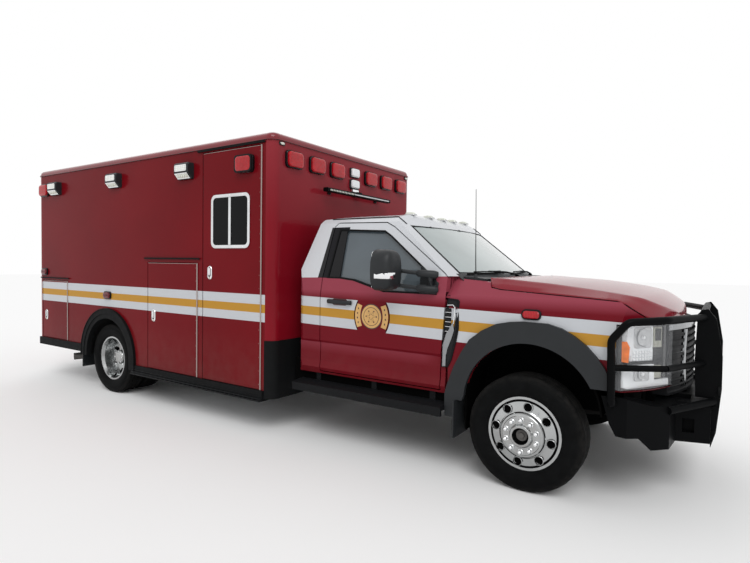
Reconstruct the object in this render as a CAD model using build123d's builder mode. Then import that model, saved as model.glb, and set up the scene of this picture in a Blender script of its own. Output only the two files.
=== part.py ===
from build123d import *
import os

os.makedirs("parts", exist_ok=True)

# A box-bodied ambulance on a cab chassis, in millimetres. X runs forward, Y to the left, Z up
# from the ground. Every X below is measured from the front axle; keep() moves the finished
# pieces so that the origin lies on the ground in the middle of the vehicle.

# Driving dimensions
wheelbase = 4902
front_reach = 1134
module_start = 2240
module_length = 4346
module_width = 2424
module_gutter = 2665
module_roof_rise = 75
wall = 70
step_depth = 280
gap = 6
seat = 0.3

module_side = module_width / 2
module_rear = module_start + module_length
rear_reach = module_rear + step_depth
front_axle_x = (rear_reach - front_reach) / 2

# Wheels: 19.5 inch rims, dual at the rear
tyre_radius = 405
tyre_width = 226
tread_width = 176
rim_radius = 250
flange_radius = 261
rim_width = 174
track_front = 950
dual_centre = 940
dual_spacing = 256
disc_offset = dual_spacing / 2
disc_thickness = 14
hand_holes = 8
hand_hole_radius = 28
hand_hole_circle = 196
hub_radius = 62
hub_bore = 57
kingpin_y = 862
kingpin_radius = 18
spindle_radius = 34
rear_spindle_radius = 45
running_gap = 0.3

# Chassis
rail_outer = 432
rail_height = 200
rail_flange = 70
rail_web = 8
rail_top = 805
spring_y = 515
spring_width = 76

# Module
floor_top = 890
floor_thickness = 40
skirt_bottom = 395
rear_skirt_bottom = 470
corner_radius = 87
arch_radius = 500
arch_lift = 30
rub_depth = 22
rub_height = 96
liner = 12
compartment_depth = 520
hinge_radius = 6
leaf = 14
lamp_width = 222
lamp_height = 160
lamp_depth = 48

# Cab
cab_side = 1012
cab_rear = 2120
cab_bottom = 585
belt_rear = 1436
belt_front = 1480
roof_edge = 1925
roof_top = 2038
roof_side = 848
cab_wall = 66
door_gap = 9
door_hinge_x = 687
door_hinge_inset = 12
door_swing = 102
pin_radius = 7
glass = 6
screen_foot = (-420, 1452)
screen_head = (-1050, 1945)
screen_bow = 198.5
cab_floor = 860
cab_under = 826

# Front end
arch_x = 12
arch_z = 563
wheel_arch = 468
flare_proud = 28
flare_outer = 600
skin = 30
hood_hinge = (-352, 1432)
guard_tube = 24
guard_plate_y = 470
guard_plate = 20


def block(x, y, z, mode=Mode.ADD):
    """A box between two X, two Y and two Z values."""
    with Locations(((x[0] + x[1]) / 2, (y[0] + y[1]) / 2, (z[0] + z[1]) / 2)):
        Box(abs(x[1] - x[0]), abs(y[1] - y[0]), abs(z[1] - z[0]), mode=mode)


def prism(plane, points, depth, mode=Mode.ADD, both=False):
    """A straight-sided outline on a plane, drawn out to a depth."""
    with BuildSketch(plane) as face:
        with BuildLine():
            Polyline(*points, close=True)
        make_face()
    extrude(face.sketch, amount=depth, both=both, mode=mode)


def rod(start, end, radius, mode=Mode.ADD):
    """A round bar between two points."""
    axis = Vector(*end) - Vector(*start)
    with BuildSketch(Plane(origin=start, z_dir=axis)) as face:
        Circle(radius)
    extrude(face.sketch, amount=axis.length, mode=mode)


def mirrored(part):
    """The same piece on the other side of the vehicle."""
    return mirror(part, about=Plane.XZ, mode=Mode.PRIVATE)


def keep(part, name):
    """Moves a finished piece to the vehicle's own origin, names it and writes it."""
    piece = part.moved(Location((front_axle_x, 0, 0)))
    piece.label = name
    export_step(piece, f"parts/{name}.step")


def both_sides(part, name):
    """Writes one piece and its mirror image as two solids of one node."""
    keep(Compound([*part.solids(), *mirrored(part).solids()]), name)


# Wheels


def tyre(x, y):
    """One tyre, spun round its axle from tread, shoulder, sidewall and bead."""
    half = tyre_width / 2
    tread = tread_width / 2
    bead = rim_width / 2 - 8
    with BuildPart() as ring:
        with BuildSketch(Plane.YZ.offset(x)) as section:
            with BuildLine():
                Line((y - tread, tyre_radius + tyre_radius), (y + tread, tyre_radius + tyre_radius))
                ThreePointArc(
                    (y + tread, 2 * tyre_radius),
                    (y + half - 9, 2 * tyre_radius - 12),
                    (y + half - 3, 2 * tyre_radius - 40),
                )
                ThreePointArc(
                    (y + half - 3, 2 * tyre_radius - 40),
                    (y + half, tyre_radius + (tyre_radius + flange_radius) / 2),
                    (y + bead, tyre_radius + flange_radius + 3),
                )
                Polyline(
                    (y + bead, tyre_radius + flange_radius + 3),
                    (y + bead, tyre_radius + rim_radius + seat),
                    (y - bead, tyre_radius + rim_radius + seat),
                    (y - bead, tyre_radius + flange_radius + 3),
                )
                ThreePointArc(
                    (y - bead, tyre_radius + flange_radius + 3),
                    (y - half, tyre_radius + (tyre_radius + flange_radius) / 2),
                    (y - half + 3, 2 * tyre_radius - 40),
                )
                ThreePointArc(
                    (y - half + 3, 2 * tyre_radius - 40),
                    (y - half + 9, 2 * tyre_radius - 12),
                    (y - tread, 2 * tyre_radius),
                )
            make_face()
        revolve(section.sketch, axis=Axis((x, 0, tyre_radius), (0, 1, 0)))
    return ring.part


def spun(x, outline):
    """An outline of (y, radius) corners spun round the axle at x."""
    with BuildSketch(Plane.YZ.offset(x)) as section:
        with BuildLine():
            Polyline(*[(y, tyre_radius + r) for y, r in outline], close=True)
        make_face()
    revolve(section.sketch, axis=Axis((x, 0, tyre_radius), (0, 1, 0)))


def rim_outline(y, out):
    """A rim's well, flanges and disc as (y, radius) corners; out is the side the disc faces."""
    half = rim_width / 2
    face = y + out * disc_offset
    return [
        (y - out * half, flange_radius),
        (y - out * (half - 8), flange_radius),
        (y - out * (half - 8), rim_radius),
        (y + out * (half - 8), rim_radius),
        (y + out * (half - 8), flange_radius),
        (y + out * half, flange_radius),
        (y + out * half, rim_radius - 12),
        (y + out * (half - 18), rim_radius - 18),
        (face - out * 40, rim_radius - 28),
        (face - out * 22, 168),
        (face - out * 14, 158),
        (face, 150),
        (face, hub_radius),
        (face - out * disc_thickness, hub_radius),
        (face - out * disc_thickness, 142),
        (face - out * 30, 156),
        (face - out * 36, 164),
        (face - out * 56, rim_radius - 38),
        (y + out * (half - 32), rim_radius - 30),
        (y - out * (half - 30), rim_radius - 24),
        (y - out * half, rim_radius - 12),
    ]


def hand_hole_cut(x, y, depth):
    """The ring of round openings through a wheel's disc."""
    with BuildSketch(Plane.XZ.offset(-y).shift_origin((x, y, tyre_radius))) as ring:
        with PolarLocations(hand_hole_circle, hand_holes, start_angle=180 / hand_holes):
            Circle(hand_hole_radius)
    extrude(ring.sketch, amount=depth, both=True, mode=Mode.SUBTRACT)


front_face = track_front + disc_offset
with BuildPart() as front_rim:
    spun(0, rim_outline(-track_front, -1))
    hand_hole_cut(0, -front_face, 90)
    spun(0, [
        (-front_face + disc_thickness, hub_radius + 40),
        (-front_face + disc_thickness, spindle_radius + running_gap),
        (-front_face + 6, spindle_radius + running_gap),
        (-front_face + 6, hub_bore),
        (-front_face - 36, hub_bore),
        (-front_face - 36, hub_bore + 9),
        (-front_face - 4, hub_bore + 17),
        (-front_face, hub_bore + 24),
        (-front_face, hub_radius + 40),
    ])
    spun(0, [
        (-front_face + disc_thickness, 150),
        (-front_face + 90, 120),
        (-front_face + 90, spindle_radius + running_gap),
        (-front_face + disc_thickness, spindle_radius + running_gap),
    ])
keep(front_rim.part, "front_rim_right")
keep(mirrored(front_rim.part), "front_rim_left")

front_tyre = tyre(0, -track_front)
keep(front_tyre, "front_tyre_right")
keep(mirrored(front_tyre), "front_tyre_left")

outer_dual = dual_centre + dual_spacing / 2
inner_dual = dual_centre - dual_spacing / 2
with BuildPart() as rear_rims:
    spun(-wheelbase, rim_outline(-outer_dual, 1))
    spun(-wheelbase, rim_outline(-inner_dual, -1))
    hand_hole_cut(-wheelbase, -dual_centre, 90)
    spun(-wheelbase, [
        (-dual_centre + disc_thickness + 60, rear_spindle_radius + running_gap),
        (-dual_centre + disc_thickness + 60, 130),
        (-dual_centre + disc_thickness, 140),
        (-dual_centre, 146),
        (-dual_centre - disc_thickness, 92),
        (-dual_centre - 130, 82),
        (-dual_centre - 150, 60),
        (-dual_centre - 150, rear_spindle_radius + running_gap),
    ])
keep(rear_rims.part, "rear_rims_right")
keep(mirrored(rear_rims.part), "rear_rims_left")

rear_tyres = Compound([tyre(-wheelbase, -outer_dual).solid(), tyre(-wheelbase, -inner_dual).solid()])
keep(rear_tyres, "rear_tyres_right")
keep(mirrored(rear_tyres), "rear_tyres_left")


# Front axle, kingpins and knuckles
knuckle_back = front_face - 90 - 8
eye_height = 96
ear_height = 34
with BuildPart() as front_axle:
    block((-45, 45), (-kingpin_y + 60, kingpin_y - 60), (tyre_radius - 60, tyre_radius + 50))
    block((-45, 45), (-kingpin_y + 120, kingpin_y - 120), (tyre_radius - 30, tyre_radius + 20),
          Mode.SUBTRACT)
    block((-20, 20), (-kingpin_y + 60, kingpin_y - 60), (tyre_radius - 60, tyre_radius + 50))
    for side in (-1, 1):
        block((-34, 34), (side * (kingpin_y - 90), side * kingpin_y), (tyre_radius - 44, tyre_radius + 44))
        with Locations((0, side * kingpin_y, tyre_radius)):
            Cylinder(36, eye_height)
            Cylinder(kingpin_radius + running_gap, eye_height, mode=Mode.SUBTRACT)
        block((-50, 50), (side * (spring_y - 40), side * (spring_y + 40)),
              (tyre_radius + 50, tyre_radius + 62))
keep(front_axle.part, "front_axle")

with BuildPart() as knuckle:
    eye_top = tyre_radius + eye_height / 2 + seat
    eye_foot = tyre_radius - eye_height / 2 - seat
    with Locations((0, -kingpin_y, tyre_radius)):
        Cylinder(kingpin_radius, eye_height + 2 * ear_height)
    with Locations((0, -kingpin_y, eye_top + ear_height / 2), (0, -kingpin_y, eye_foot - ear_height / 2)):
        Cylinder(38, ear_height)
    for low in (eye_top, eye_foot - ear_height):
        block((-36, 36), (-knuckle_back + 6, -kingpin_y), (low, low + ear_height))
    block((-60, 60), (-knuckle_back, -kingpin_y - 44), (eye_foot - ear_height, eye_top + ear_height))
    rod((0, -knuckle_back + 10, tyre_radius), (0, -front_face + 4, tyre_radius), spindle_radius)
    block((-190, -40), (-knuckle_back, -kingpin_y - 50), (tyre_radius - 82, tyre_radius - 58))
keep(knuckle.part, "knuckle_right")
keep(mirrored(knuckle.part), "knuckle_left")

# Rear axle with its differential
with BuildPart() as rear_axle:
    rod((-wheelbase, -dual_centre + 90, tyre_radius), (-wheelbase, dual_centre - 90, tyre_radius), 66)
    rod((-wheelbase, -dual_centre - 130, tyre_radius), (-wheelbase, dual_centre + 130, tyre_radius),
        rear_spindle_radius)
    spun(-wheelbase, [
        (-150, 0),
        (-150, 60),
        (-95, 160),
        (-30, 190),
        (40, 190),
        (95, 150),
        (150, 60),
        (150, 0),
    ])
    rod((-wheelbase, 0, tyre_radius), (-wheelbase + 320, 0, tyre_radius + 40), 62)
    for side in (-1, 1):
        block((-wheelbase - 60, -wheelbase + 60), (side * (spring_y - 40), side * (spring_y + 40)),
              (tyre_radius + 20, tyre_radius + 75))
keep(rear_axle.part, "rear_axle")

# Leaf springs as stacked bowed leaves: centre x, half length, seat height, leaves, leaf thickness
spring_table = [
    (0, 640, tyre_radius + 62 + seat, 3, 14),
    (-wheelbase, 760, tyre_radius + 75 + seat, 6, 14),
]
with BuildPart() as springs:
    for centre, reach, low, leaves, thick in spring_table:
        for side in (-1, 1):
            for n in range(leaves):
                span = reach * (1 - 0.13 * (leaves - 1 - n))
                rise = 70 * (span / reach) ** 2
                base = low + n * thick
                with BuildSketch(Plane.XZ.offset(-side * spring_y - spring_width / 2)) as face:
                    with BuildLine():
                        ThreePointArc((centre - span, base + rise), (centre, base),
                                      (centre + span, base + rise))
                        Line((centre + span, base + rise), (centre + span, base + rise + thick))
                        ThreePointArc((centre + span, base + rise + thick), (centre, base + thick),
                                      (centre - span, base + rise + thick))
                        Line((centre - span, base + rise + thick), (centre - span, base + rise))
                    make_face()
                extrude(face.sketch, amount=spring_width)
            block((centre - 50, centre + 50), (side * spring_y - 44, side * spring_y + 44),
                  (low, low + leaves * thick + 14))
            eye = low + leaves * thick + 70
            for end in (-1, 1):
                eye_x = centre + end * reach
                rod((eye_x, side * spring_y - 38, eye), (eye_x, side * spring_y + 38, eye), 24)
                hanger = side * (rail_outer + seat)
                block((eye_x - 26, eye_x + 26), (hanger, side * (spring_y + 34)), (eye - 10, rail_top - 30))
keep(springs.part, "leaf_springs")

# Ladder frame: two channel rails and the crossmembers between them
rail_front = 680
rail_foot = rail_top - rail_height
rail_rear = -module_rear + 30
rail_inner = rail_outer - rail_flange
with BuildPart() as rail:
    prism(Plane.YZ.offset(rail_rear), [
        (-rail_outer, rail_top - rail_height),
        (-rail_inner, rail_top - rail_height),
        (-rail_inner, rail_top - rail_height + rail_web),
        (-rail_outer + rail_web, rail_top - rail_height + rail_web),
        (-rail_outer + rail_web, rail_top - rail_web),
        (-rail_inner, rail_top - rail_web),
        (-rail_inner, rail_top),
        (-rail_outer, rail_top),
    ], rail_front - rail_rear)
cross_x = (540, -1700, -2700, -4100, -5700, -6400)
with BuildPart() as cross:
    for x in cross_x:
        reach = rail_outer - rail_web - seat
        low = rail_top - rail_height + rail_web + seat
        block((x - 40, x + 40), (-reach, reach), (low, low + rail_height - 2 * rail_web - 2 * seat))
        for face in (-1, 1):
            block((x + face * 6, x + face * 40), (-reach - 1, reach + 1),
                  (low + 10, low + rail_height - 2 * rail_web - 10), Mode.SUBTRACT)
keep(Compound([*rail.part.solids(), *mirrored(rail.part).solids(), *cross.part.solids()]), "ladder_frame")

# Engine block, gearbox, propeller shaft and radiator
with BuildPart() as drivetrain:
    block((-330, 480), (-290, 290), (640, 1260))
    block((-410, -330), (-230, 230), (560, 1060))
    prism(Plane.XZ.offset(-150), [(-410, 520), (-1150, 540), (-1150, 700), (-410, 812)], 300)
    rod((-1150, 0, 570), (-1672, 0, 528), 45)
    rod((-1730, 0, 524), (-wheelbase + 328, 0, tyre_radius + 42), 45)
    rod((-1668, 0, 528), (-1790, 0, 520), 62)
    block((-1790, -1745), (-rail_inner - 4, rail_inner + 4), (575, rail_foot - seat))
keep(drivetrain.part, "drivetrain")

# Fuel tank between the rails behind the rear axle, and the exhaust along the right side
with BuildPart() as tank:
    with BuildSketch(Plane.YZ.offset(-6460)):
        with Locations((0, 450)):
            RectangleRounded(640, 290, 60)
    extrude(amount=820)
    for x in (-6300, -5850):
        for side in (-1, 1):
            block((x - 20, x + 20), (side * 300, side * (rail_inner + 20)), (500, rail_foot - seat))
exhaust_y = -300
with BuildPart() as exhaust:
    rod((-700, exhaust_y, 520), (-1900, exhaust_y, 470), 45)
    rod((-1900, exhaust_y, 470), (-2900, exhaust_y, 470), 110)
    rod((-2900, exhaust_y, 470), (-4150, exhaust_y, 500), 45)
    for x in (-2050, -2750):
        block((x - 15, x + 15), (-rail_outer + 12, exhaust_y + 20), (560, rail_foot - seat))
        block((x - 15, x + 15), (-rail_outer + 12, exhaust_y - 60), (470, 570))
keep(Compound([*tank.part.solids(), *exhaust.part.solids()]), "tank_and_exhaust")


# Patient module
# Side doors: name, side (-1 right, 1 left), front edge, rear edge, bottom, top
side_doors = [
    ("entry_door", -1, 2381, 3195, 400, module_gutter - 37),
    ("side_door_middle_right", -1, 3277, 4114, 400, 1547),
    ("side_door_rear_right", -1, 5827, 6478, 540, 1292),
    ("side_door_front_left", 1, 2381, 3195, 400, module_gutter - 37),
    ("side_door_middle_left", 1, 3277, 4114, 400, 1547),
    ("side_door_rear_left", 1, 5827, 6478, 540, 1292),
]
entry_window = (2525, 3061, 1696, 2211)
post_edge = 3
wall_front = -module_start - corner_radius - post_edge
wall_rear = -module_rear + corner_radius + post_edge
arch_centre = tyre_radius + arch_lift
floor_under = floor_top - floor_thickness


def hinge_line(top, bottom, part):
    """The lower and upper ends of one third of a hinge, with its running gap."""
    third = (top - bottom) / 3
    low = bottom + part * third + seat / 2
    return low, low + third - seat


def hinge(x, side, bottom, top, parts, reach):
    """Hinge barrels on a wall's face, with leaves that reach forward or back from the pin."""
    for part in parts:
        low, high = hinge_line(top, bottom, part)
        face = side * module_side
        pin = side * (module_side + hinge_radius)
        rod((x, pin, low), (x, pin, high), hinge_radius)
        block((x, x + reach), (face, face + side * 3), (low, high))


def side_wall(side):
    """One side of the module with its door openings and its wheel arch."""
    with BuildPart() as panel:
        with BuildSketch(Plane.XZ.offset(-side * module_side)) as face:
            with BuildLine():
                Polyline(
                    (wall_front, skirt_bottom),
                    (wall_front, module_gutter),
                    (wall_rear, module_gutter),
                    (wall_rear, rear_skirt_bottom),
                    (-wheelbase - arch_radius, rear_skirt_bottom),
                    (-wheelbase - arch_radius, arch_centre),
                )
                ThreePointArc(
                    (-wheelbase - arch_radius, arch_centre),
                    (-wheelbase, arch_centre + arch_radius),
                    (-wheelbase + arch_radius, arch_centre),
                )
                Polyline(
                    (-wheelbase + arch_radius, arch_centre),
                    (-wheelbase + arch_radius, skirt_bottom),
                    (wall_front, skirt_bottom),
                )
            make_face()
        extrude(face.sketch, amount=side * wall)
        for _, door_side, front, rear, bottom, top in side_doors:
            if door_side == side:
                inner = side * (module_side - wall - 1)
                outer = side * (module_side + 1)
                block((-front + gap, -rear - gap), (inner, outer), (bottom - gap, top + gap), Mode.SUBTRACT)
                hinge(-front + gap / 2, side, bottom, top, (0, 2), leaf)
    return panel.part


keep(side_wall(-1), "module_wall_right")
keep(side_wall(1), "module_wall_left")


def side_door(side, front, rear, bottom, top, window=None):
    """A flush door as thick as the wall, with its part of the hinge and its latch seat."""
    with BuildPart() as leaf_door:
        block((-front, -rear), (side * module_side, side * (module_side - wall)), (bottom, top))
        fillet(leaf_door.edges().filter_by(Axis.Y), 12)
        hinge(-front + gap / 2, side, bottom, top, (1,), -leaf)
        if window:
            front_x, rear_x, low, high = window
            with BuildSketch(Plane.XZ.offset(-side * (module_side + 1))) as hole:
                with Locations((-(front_x + rear_x) / 2, (low + high) / 2)):
                    RectangleRounded(rear_x - front_x - 60, high - low - 60, 40)
            extrude(hole.sketch, amount=side * (wall + 2), mode=Mode.SUBTRACT)
    return leaf_door.part


for name, side, front, rear, bottom, top in side_doors:
    door = side_door(side, front, rear, bottom, top, entry_window if name == "entry_door" else None)
    if name == "entry_door":
        with BuildPart() as lamp_seat:
            block((-2475, -2475 - lamp_width), (-module_side, -module_side - lamp_depth),
                  (2391, 2391 + lamp_height))
            fillet(lamp_seat.edges().filter_by(Axis.Y), 30)
        door = door + lamp_seat.part
    keep(door, name)

# The entry door's window pane with its frame
with BuildPart() as entry_pane:
    front_x, rear_x, low, high = entry_window
    mid = (-(front_x + rear_x) / 2, (low + high) / 2)
    pane_plane = Plane.XZ.offset(module_side + seat)
    with BuildSketch(pane_plane) as frame_face:
        with Locations(mid):
            RectangleRounded(rear_x - front_x, high - low, 60)
            RectangleRounded(rear_x - front_x - 64, high - low - 64, 36, mode=Mode.SUBTRACT)
            Rectangle(40, high - low - 60)
    extrude(frame_face.sketch, amount=12)
    with BuildSketch(pane_plane) as pane_face:
        with Locations(mid):
            RectangleRounded(rear_x - front_x - 62, high - low - 62, 37)
    extrude(pane_face.sketch, amount=6)
keep(entry_pane.part, "entry_window")

# Front and rear walls carry the rounded corner posts
lower_cut = 560


def end_wall(face_x, inward):
    """An end wall whose rounded corners turn onto the sides; inward is the way to the inside."""
    joint = wall_front if inward < 0 else wall_rear
    far = face_x + inward * 400
    with BuildSketch() as plan:
        with Locations(((face_x + far) / 2, 0)):
            RectangleRounded(400, module_width, corner_radius)
        with Locations(((face_x + far) / 2 + inward * wall, 0)):
            Rectangle(400, module_width - 2 * wall, mode=Mode.SUBTRACT)
        with Locations((joint + inward * 300, 0)):
            Rectangle(600, module_width + 10, mode=Mode.SUBTRACT)
    return plan.sketch


with BuildPart() as front_wall:
    with Locations((0, 0, skirt_bottom)):
        add(end_wall(-module_start, -1))
    extrude(amount=module_gutter - skirt_bottom)
    block((-module_start + 1, -module_start - 200), (-lower_cut, lower_cut), (skirt_bottom - 1, floor_under),
          Mode.SUBTRACT)
keep(front_wall.part, "module_wall_front")

rear_opening = 640
rear_door_bottom = floor_top + 10
rear_door_top = 2520
rear_pin_x = -module_rear - hinge_radius
with BuildPart() as rear_wall:
    with Locations((0, 0, rear_skirt_bottom)):
        add(end_wall(-module_rear, 1))
    extrude(amount=module_gutter - rear_skirt_bottom)
    block((-module_rear - 1, -module_rear + 200), (-lower_cut, lower_cut),
          (rear_skirt_bottom - 1, floor_under), Mode.SUBTRACT)
    block((-module_rear - 1, -module_rear + 200), (-rear_opening - gap, rear_opening + gap),
          (rear_door_bottom - gap, rear_door_top + gap), Mode.SUBTRACT)
    for side in (-1, 1):
        for part in (0, 2):
            low, high = hinge_line(rear_door_top, rear_door_bottom, part)
            pin_y = side * (rear_opening + gap / 2)
            rod((rear_pin_x, pin_y, low), (rear_pin_x, pin_y, high), hinge_radius)
            block((-module_rear, -module_rear - 3), (pin_y, pin_y + side * leaf), (low, high))
keep(rear_wall.part, "module_wall_rear")

with BuildPart() as rear_door:
    block((-module_rear, -module_rear + wall), (-rear_opening, -gap / 2), (rear_door_bottom, rear_door_top))
    fillet(rear_door.edges().filter_by(Axis.X), 12)
    low, high = hinge_line(rear_door_top, rear_door_bottom, 1)
    pin_y = -rear_opening - gap / 2
    rod((rear_pin_x, pin_y, low), (rear_pin_x, pin_y, high), hinge_radius)
    block((-module_rear, -module_rear - 3), (pin_y, pin_y + leaf), (low, high))
    with BuildSketch(Plane.YZ.offset(-module_rear - 1)) as hole:
        with Locations((-rear_opening / 2, 1960)):
            RectangleRounded(400, 480, 50)
    extrude(hole.sketch, amount=wall + 2, mode=Mode.SUBTRACT)
keep(rear_door.part, "rear_door_right")
keep(mirrored(rear_door.part), "rear_door_left")
with BuildPart() as rear_pane:
    with BuildSketch(Plane.YZ.offset(-module_rear - seat)) as frame_face:
        with Locations((-rear_opening / 2, 1960)):
            RectangleRounded(460, 540, 70)
            RectangleRounded(400, 480, 44, mode=Mode.SUBTRACT)
    extrude(frame_face.sketch, amount=-12)
    with BuildSketch(Plane.YZ.offset(-module_rear - seat)) as pane_face:
        with Locations((-rear_opening / 2, 1960)):
            RectangleRounded(402, 482, 45)
    extrude(pane_face.sketch, amount=-6)
keep(rear_pane.part, "rear_window_right")
keep(mirrored(rear_pane.part), "rear_window_left")

# Roof with its gutter and its eased upper edge
with BuildPart() as roof:
    with BuildSketch(Plane.XY.offset(module_gutter)) as plan:
        with Locations((-module_start - module_length / 2, 0)):
            RectangleRounded(module_length, module_width, corner_radius)
    extrude(plan.sketch, amount=module_roof_rise)
    fillet(roof.edges().filter_by(Plane.XY).group_by(Axis.Z)[-1], 55)
    with BuildSketch(Plane.XY.offset(module_gutter)) as drip:
        with Locations((-module_start - module_length / 2, 0)):
            RectangleRounded(module_length + 24, module_width + 24, corner_radius + 12)
    extrude(drip.sketch, amount=14)
keep(roof.part, "module_roof")

# Floor, with the places where compartments, steps and wheel housings pass through cut away
inner_side = module_side - wall
housing_radius = arch_radius + liner
compartment_boxes = [
    (name, side, (-rear - gap - liner, -front + gap + liner), bottom - gap - liner, top + gap + liner)
    for name, side, front, rear, bottom, top in side_doors
]
with BuildPart() as floor:
    block((-module_rear + wall, -module_start - wall), (-inner_side, inner_side), (floor_under, floor_top))
    for _, side, (rear, front), _, _ in compartment_boxes:
        block((rear, front), (side * (inner_side + 1), side * (inner_side - compartment_depth)),
              (floor_under - 1, floor_top + 1), Mode.SUBTRACT)
    for side in (-1, 1):
        block((-wheelbase - housing_radius, -wheelbase + housing_radius),
              (side * (inner_side + 1), side * 628), (floor_under - 1, floor_top + 1), Mode.SUBTRACT)
    for side in (-1, 1):
        block((-module_rear + wall, -module_start - wall), (side * (rail_outer - 60), side * rail_outer),
              (rail_top + seat, floor_under))
keep(floor.part, "module_floor")

# Compartment liners, the entry step well and the rear wheel housings
with BuildPart() as liners:
    for name, side, (rear, front), bottom, top in compartment_boxes:
        well = name == "entry_door"
        high = floor_under if well else top
        outer = side * inner_side
        inner = side * (inner_side - compartment_depth)
        block((rear, front), (outer, inner), (bottom, high))
        block((rear + liner, front - liner), (outer + side, inner + side * liner),
              (bottom + liner, high + 1 if well else high - liner), Mode.SUBTRACT)
    for side in (-1, 1):
        with BuildSketch(Plane.XZ.offset(-side * inner_side)) as hoop:
            with BuildLine():
                front_x = -wheelbase + housing_radius
                rear_x = -wheelbase - housing_radius
                Polyline((front_x, skirt_bottom), (front_x, arch_centre))
                ThreePointArc((front_x, arch_centre), (-wheelbase, arch_centre + housing_radius),
                              (rear_x, arch_centre))
                Polyline((rear_x, arch_centre), (rear_x, skirt_bottom), (front_x, skirt_bottom))
            make_face()
        extrude(hoop.sketch, amount=side * (inner_side - 628))
        with BuildSketch(Plane.XZ.offset(-side * (inner_side + 1))) as hollow:
            with BuildLine():
                front_x = -wheelbase + arch_radius
                rear_x = -wheelbase - arch_radius
                Polyline((front_x, skirt_bottom - 1), (front_x, arch_centre))
                ThreePointArc((front_x, arch_centre), (-wheelbase, arch_centre + arch_radius),
                              (rear_x, arch_centre))
                Polyline((rear_x, arch_centre), (rear_x, skirt_bottom - 1), (front_x, skirt_bottom - 1))
            make_face()
        extrude(hollow.sketch, amount=side * (inner_side + 1 - 628 - liner), mode=Mode.SUBTRACT)
        block((-wheelbase - 90, -wheelbase + 90), (side * 620, side * 660), (skirt_bottom - 1, 530),
              Mode.SUBTRACT)
keep(liners.part, "compartment_liners")

# Inside: cabinets along the left wall and a bench along the right
with BuildPart() as cabinets:
    cabinet_foot = arch_centre + housing_radius + seat
    block((-5780, -4150), (inner_side - seat, 640), (cabinet_foot, 1590))
    block((-5780, -3240), (inner_side - seat, 800), (1700, 2560))
    block((-5780, -4150), (-inner_side + seat, -640), (cabinet_foot, 1330))
keep(cabinets.part, "cabinets")

# Black trim: rub rails, corner guards, drip rails and the flares round the rear wheels
flare_band = 66
flare_low_front = 320
flare_low_rear = 400
with BuildPart() as rub_right:
    rub_face = -module_side - rub_depth
    block((-4384, -2340), (rub_face, -module_side + wall), (skirt_bottom - rub_height, skirt_bottom))
    block((-module_rear + 60, -wheelbase - arch_radius - flare_band - 4), (rub_face, -module_side - seat),
          (rear_skirt_bottom - 34, rear_skirt_bottom + 60))
    for front, rear, z in ((2336, 3263, module_gutter - 22), (3230, 4160, 1585), (5780, 6500, 1318)):
        block((-rear, -front), (-module_side - 18, -module_side - seat), (z, z + 8))
        block((-rear, -front), (-module_side - 18, -module_side - 14), (z, z + 16))
    with BuildSketch(Plane.XZ.offset(module_side + seat)) as band:
        with BuildLine():
            outer = arch_radius + flare_band
            ThreePointArc((-wheelbase + outer, arch_centre), (-wheelbase, arch_centre + outer),
                          (-wheelbase - outer, arch_centre))
            Polyline((-wheelbase - outer, arch_centre), (-wheelbase - outer, flare_low_rear),
                     (-wheelbase - arch_radius, flare_low_rear), (-wheelbase - arch_radius, arch_centre))
            ThreePointArc((-wheelbase - arch_radius, arch_centre), (-wheelbase, arch_centre + arch_radius),
                          (-wheelbase + arch_radius, arch_centre))
            Polyline((-wheelbase + arch_radius, arch_centre), (-wheelbase + arch_radius, flare_low_front),
                     (-wheelbase + outer, flare_low_front), (-wheelbase + outer, arch_centre))
        make_face()
    extrude(band.sketch, amount=26)
    with BuildSketch(Plane.XY.offset(324)) as guard:
        with Locations((-module_start - 197, 0)):
            RectangleRounded(410, module_width + 16, corner_radius + 8)
            RectangleRounded(394 + 2 * seat, module_width + 2 * seat, corner_radius, mode=Mode.SUBTRACT)
        with Locations((-module_start - 300, 0)):
            Rectangle(420, module_width + 40, mode=Mode.SUBTRACT)
        with Locations((-module_start, module_side - 560)):
            Rectangle(400, module_width, mode=Mode.SUBTRACT)
    extrude(guard.sketch, amount=855 - 324)
both_sides(rub_right.part, "rub_rails")

# Step bumper across the rear, carried by two brackets from the rails
step_half = 1040
with BuildPart() as step:
    block((-module_rear - step_depth, -module_rear - 8), (-step_half, step_half), (500, 580))
    for low_y, high_y in ((-step_half + 60, -330), (-300, 300), (330, step_half - 60)):
        block((-module_rear - step_depth + 30, -module_rear - 40), (low_y, high_y), (530, 581),
              Mode.SUBTRACT)
    for side in (-1, 1):
        rail_y = (side * (rail_outer - 60), side * rail_outer)
        block((-module_rear - 8, rail_rear - seat), rail_y, (500, 580))
        block((rail_rear - 12, rail_rear - seat), rail_y, (500, rail_top - 20))
keep(step.part, "rear_step")

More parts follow.
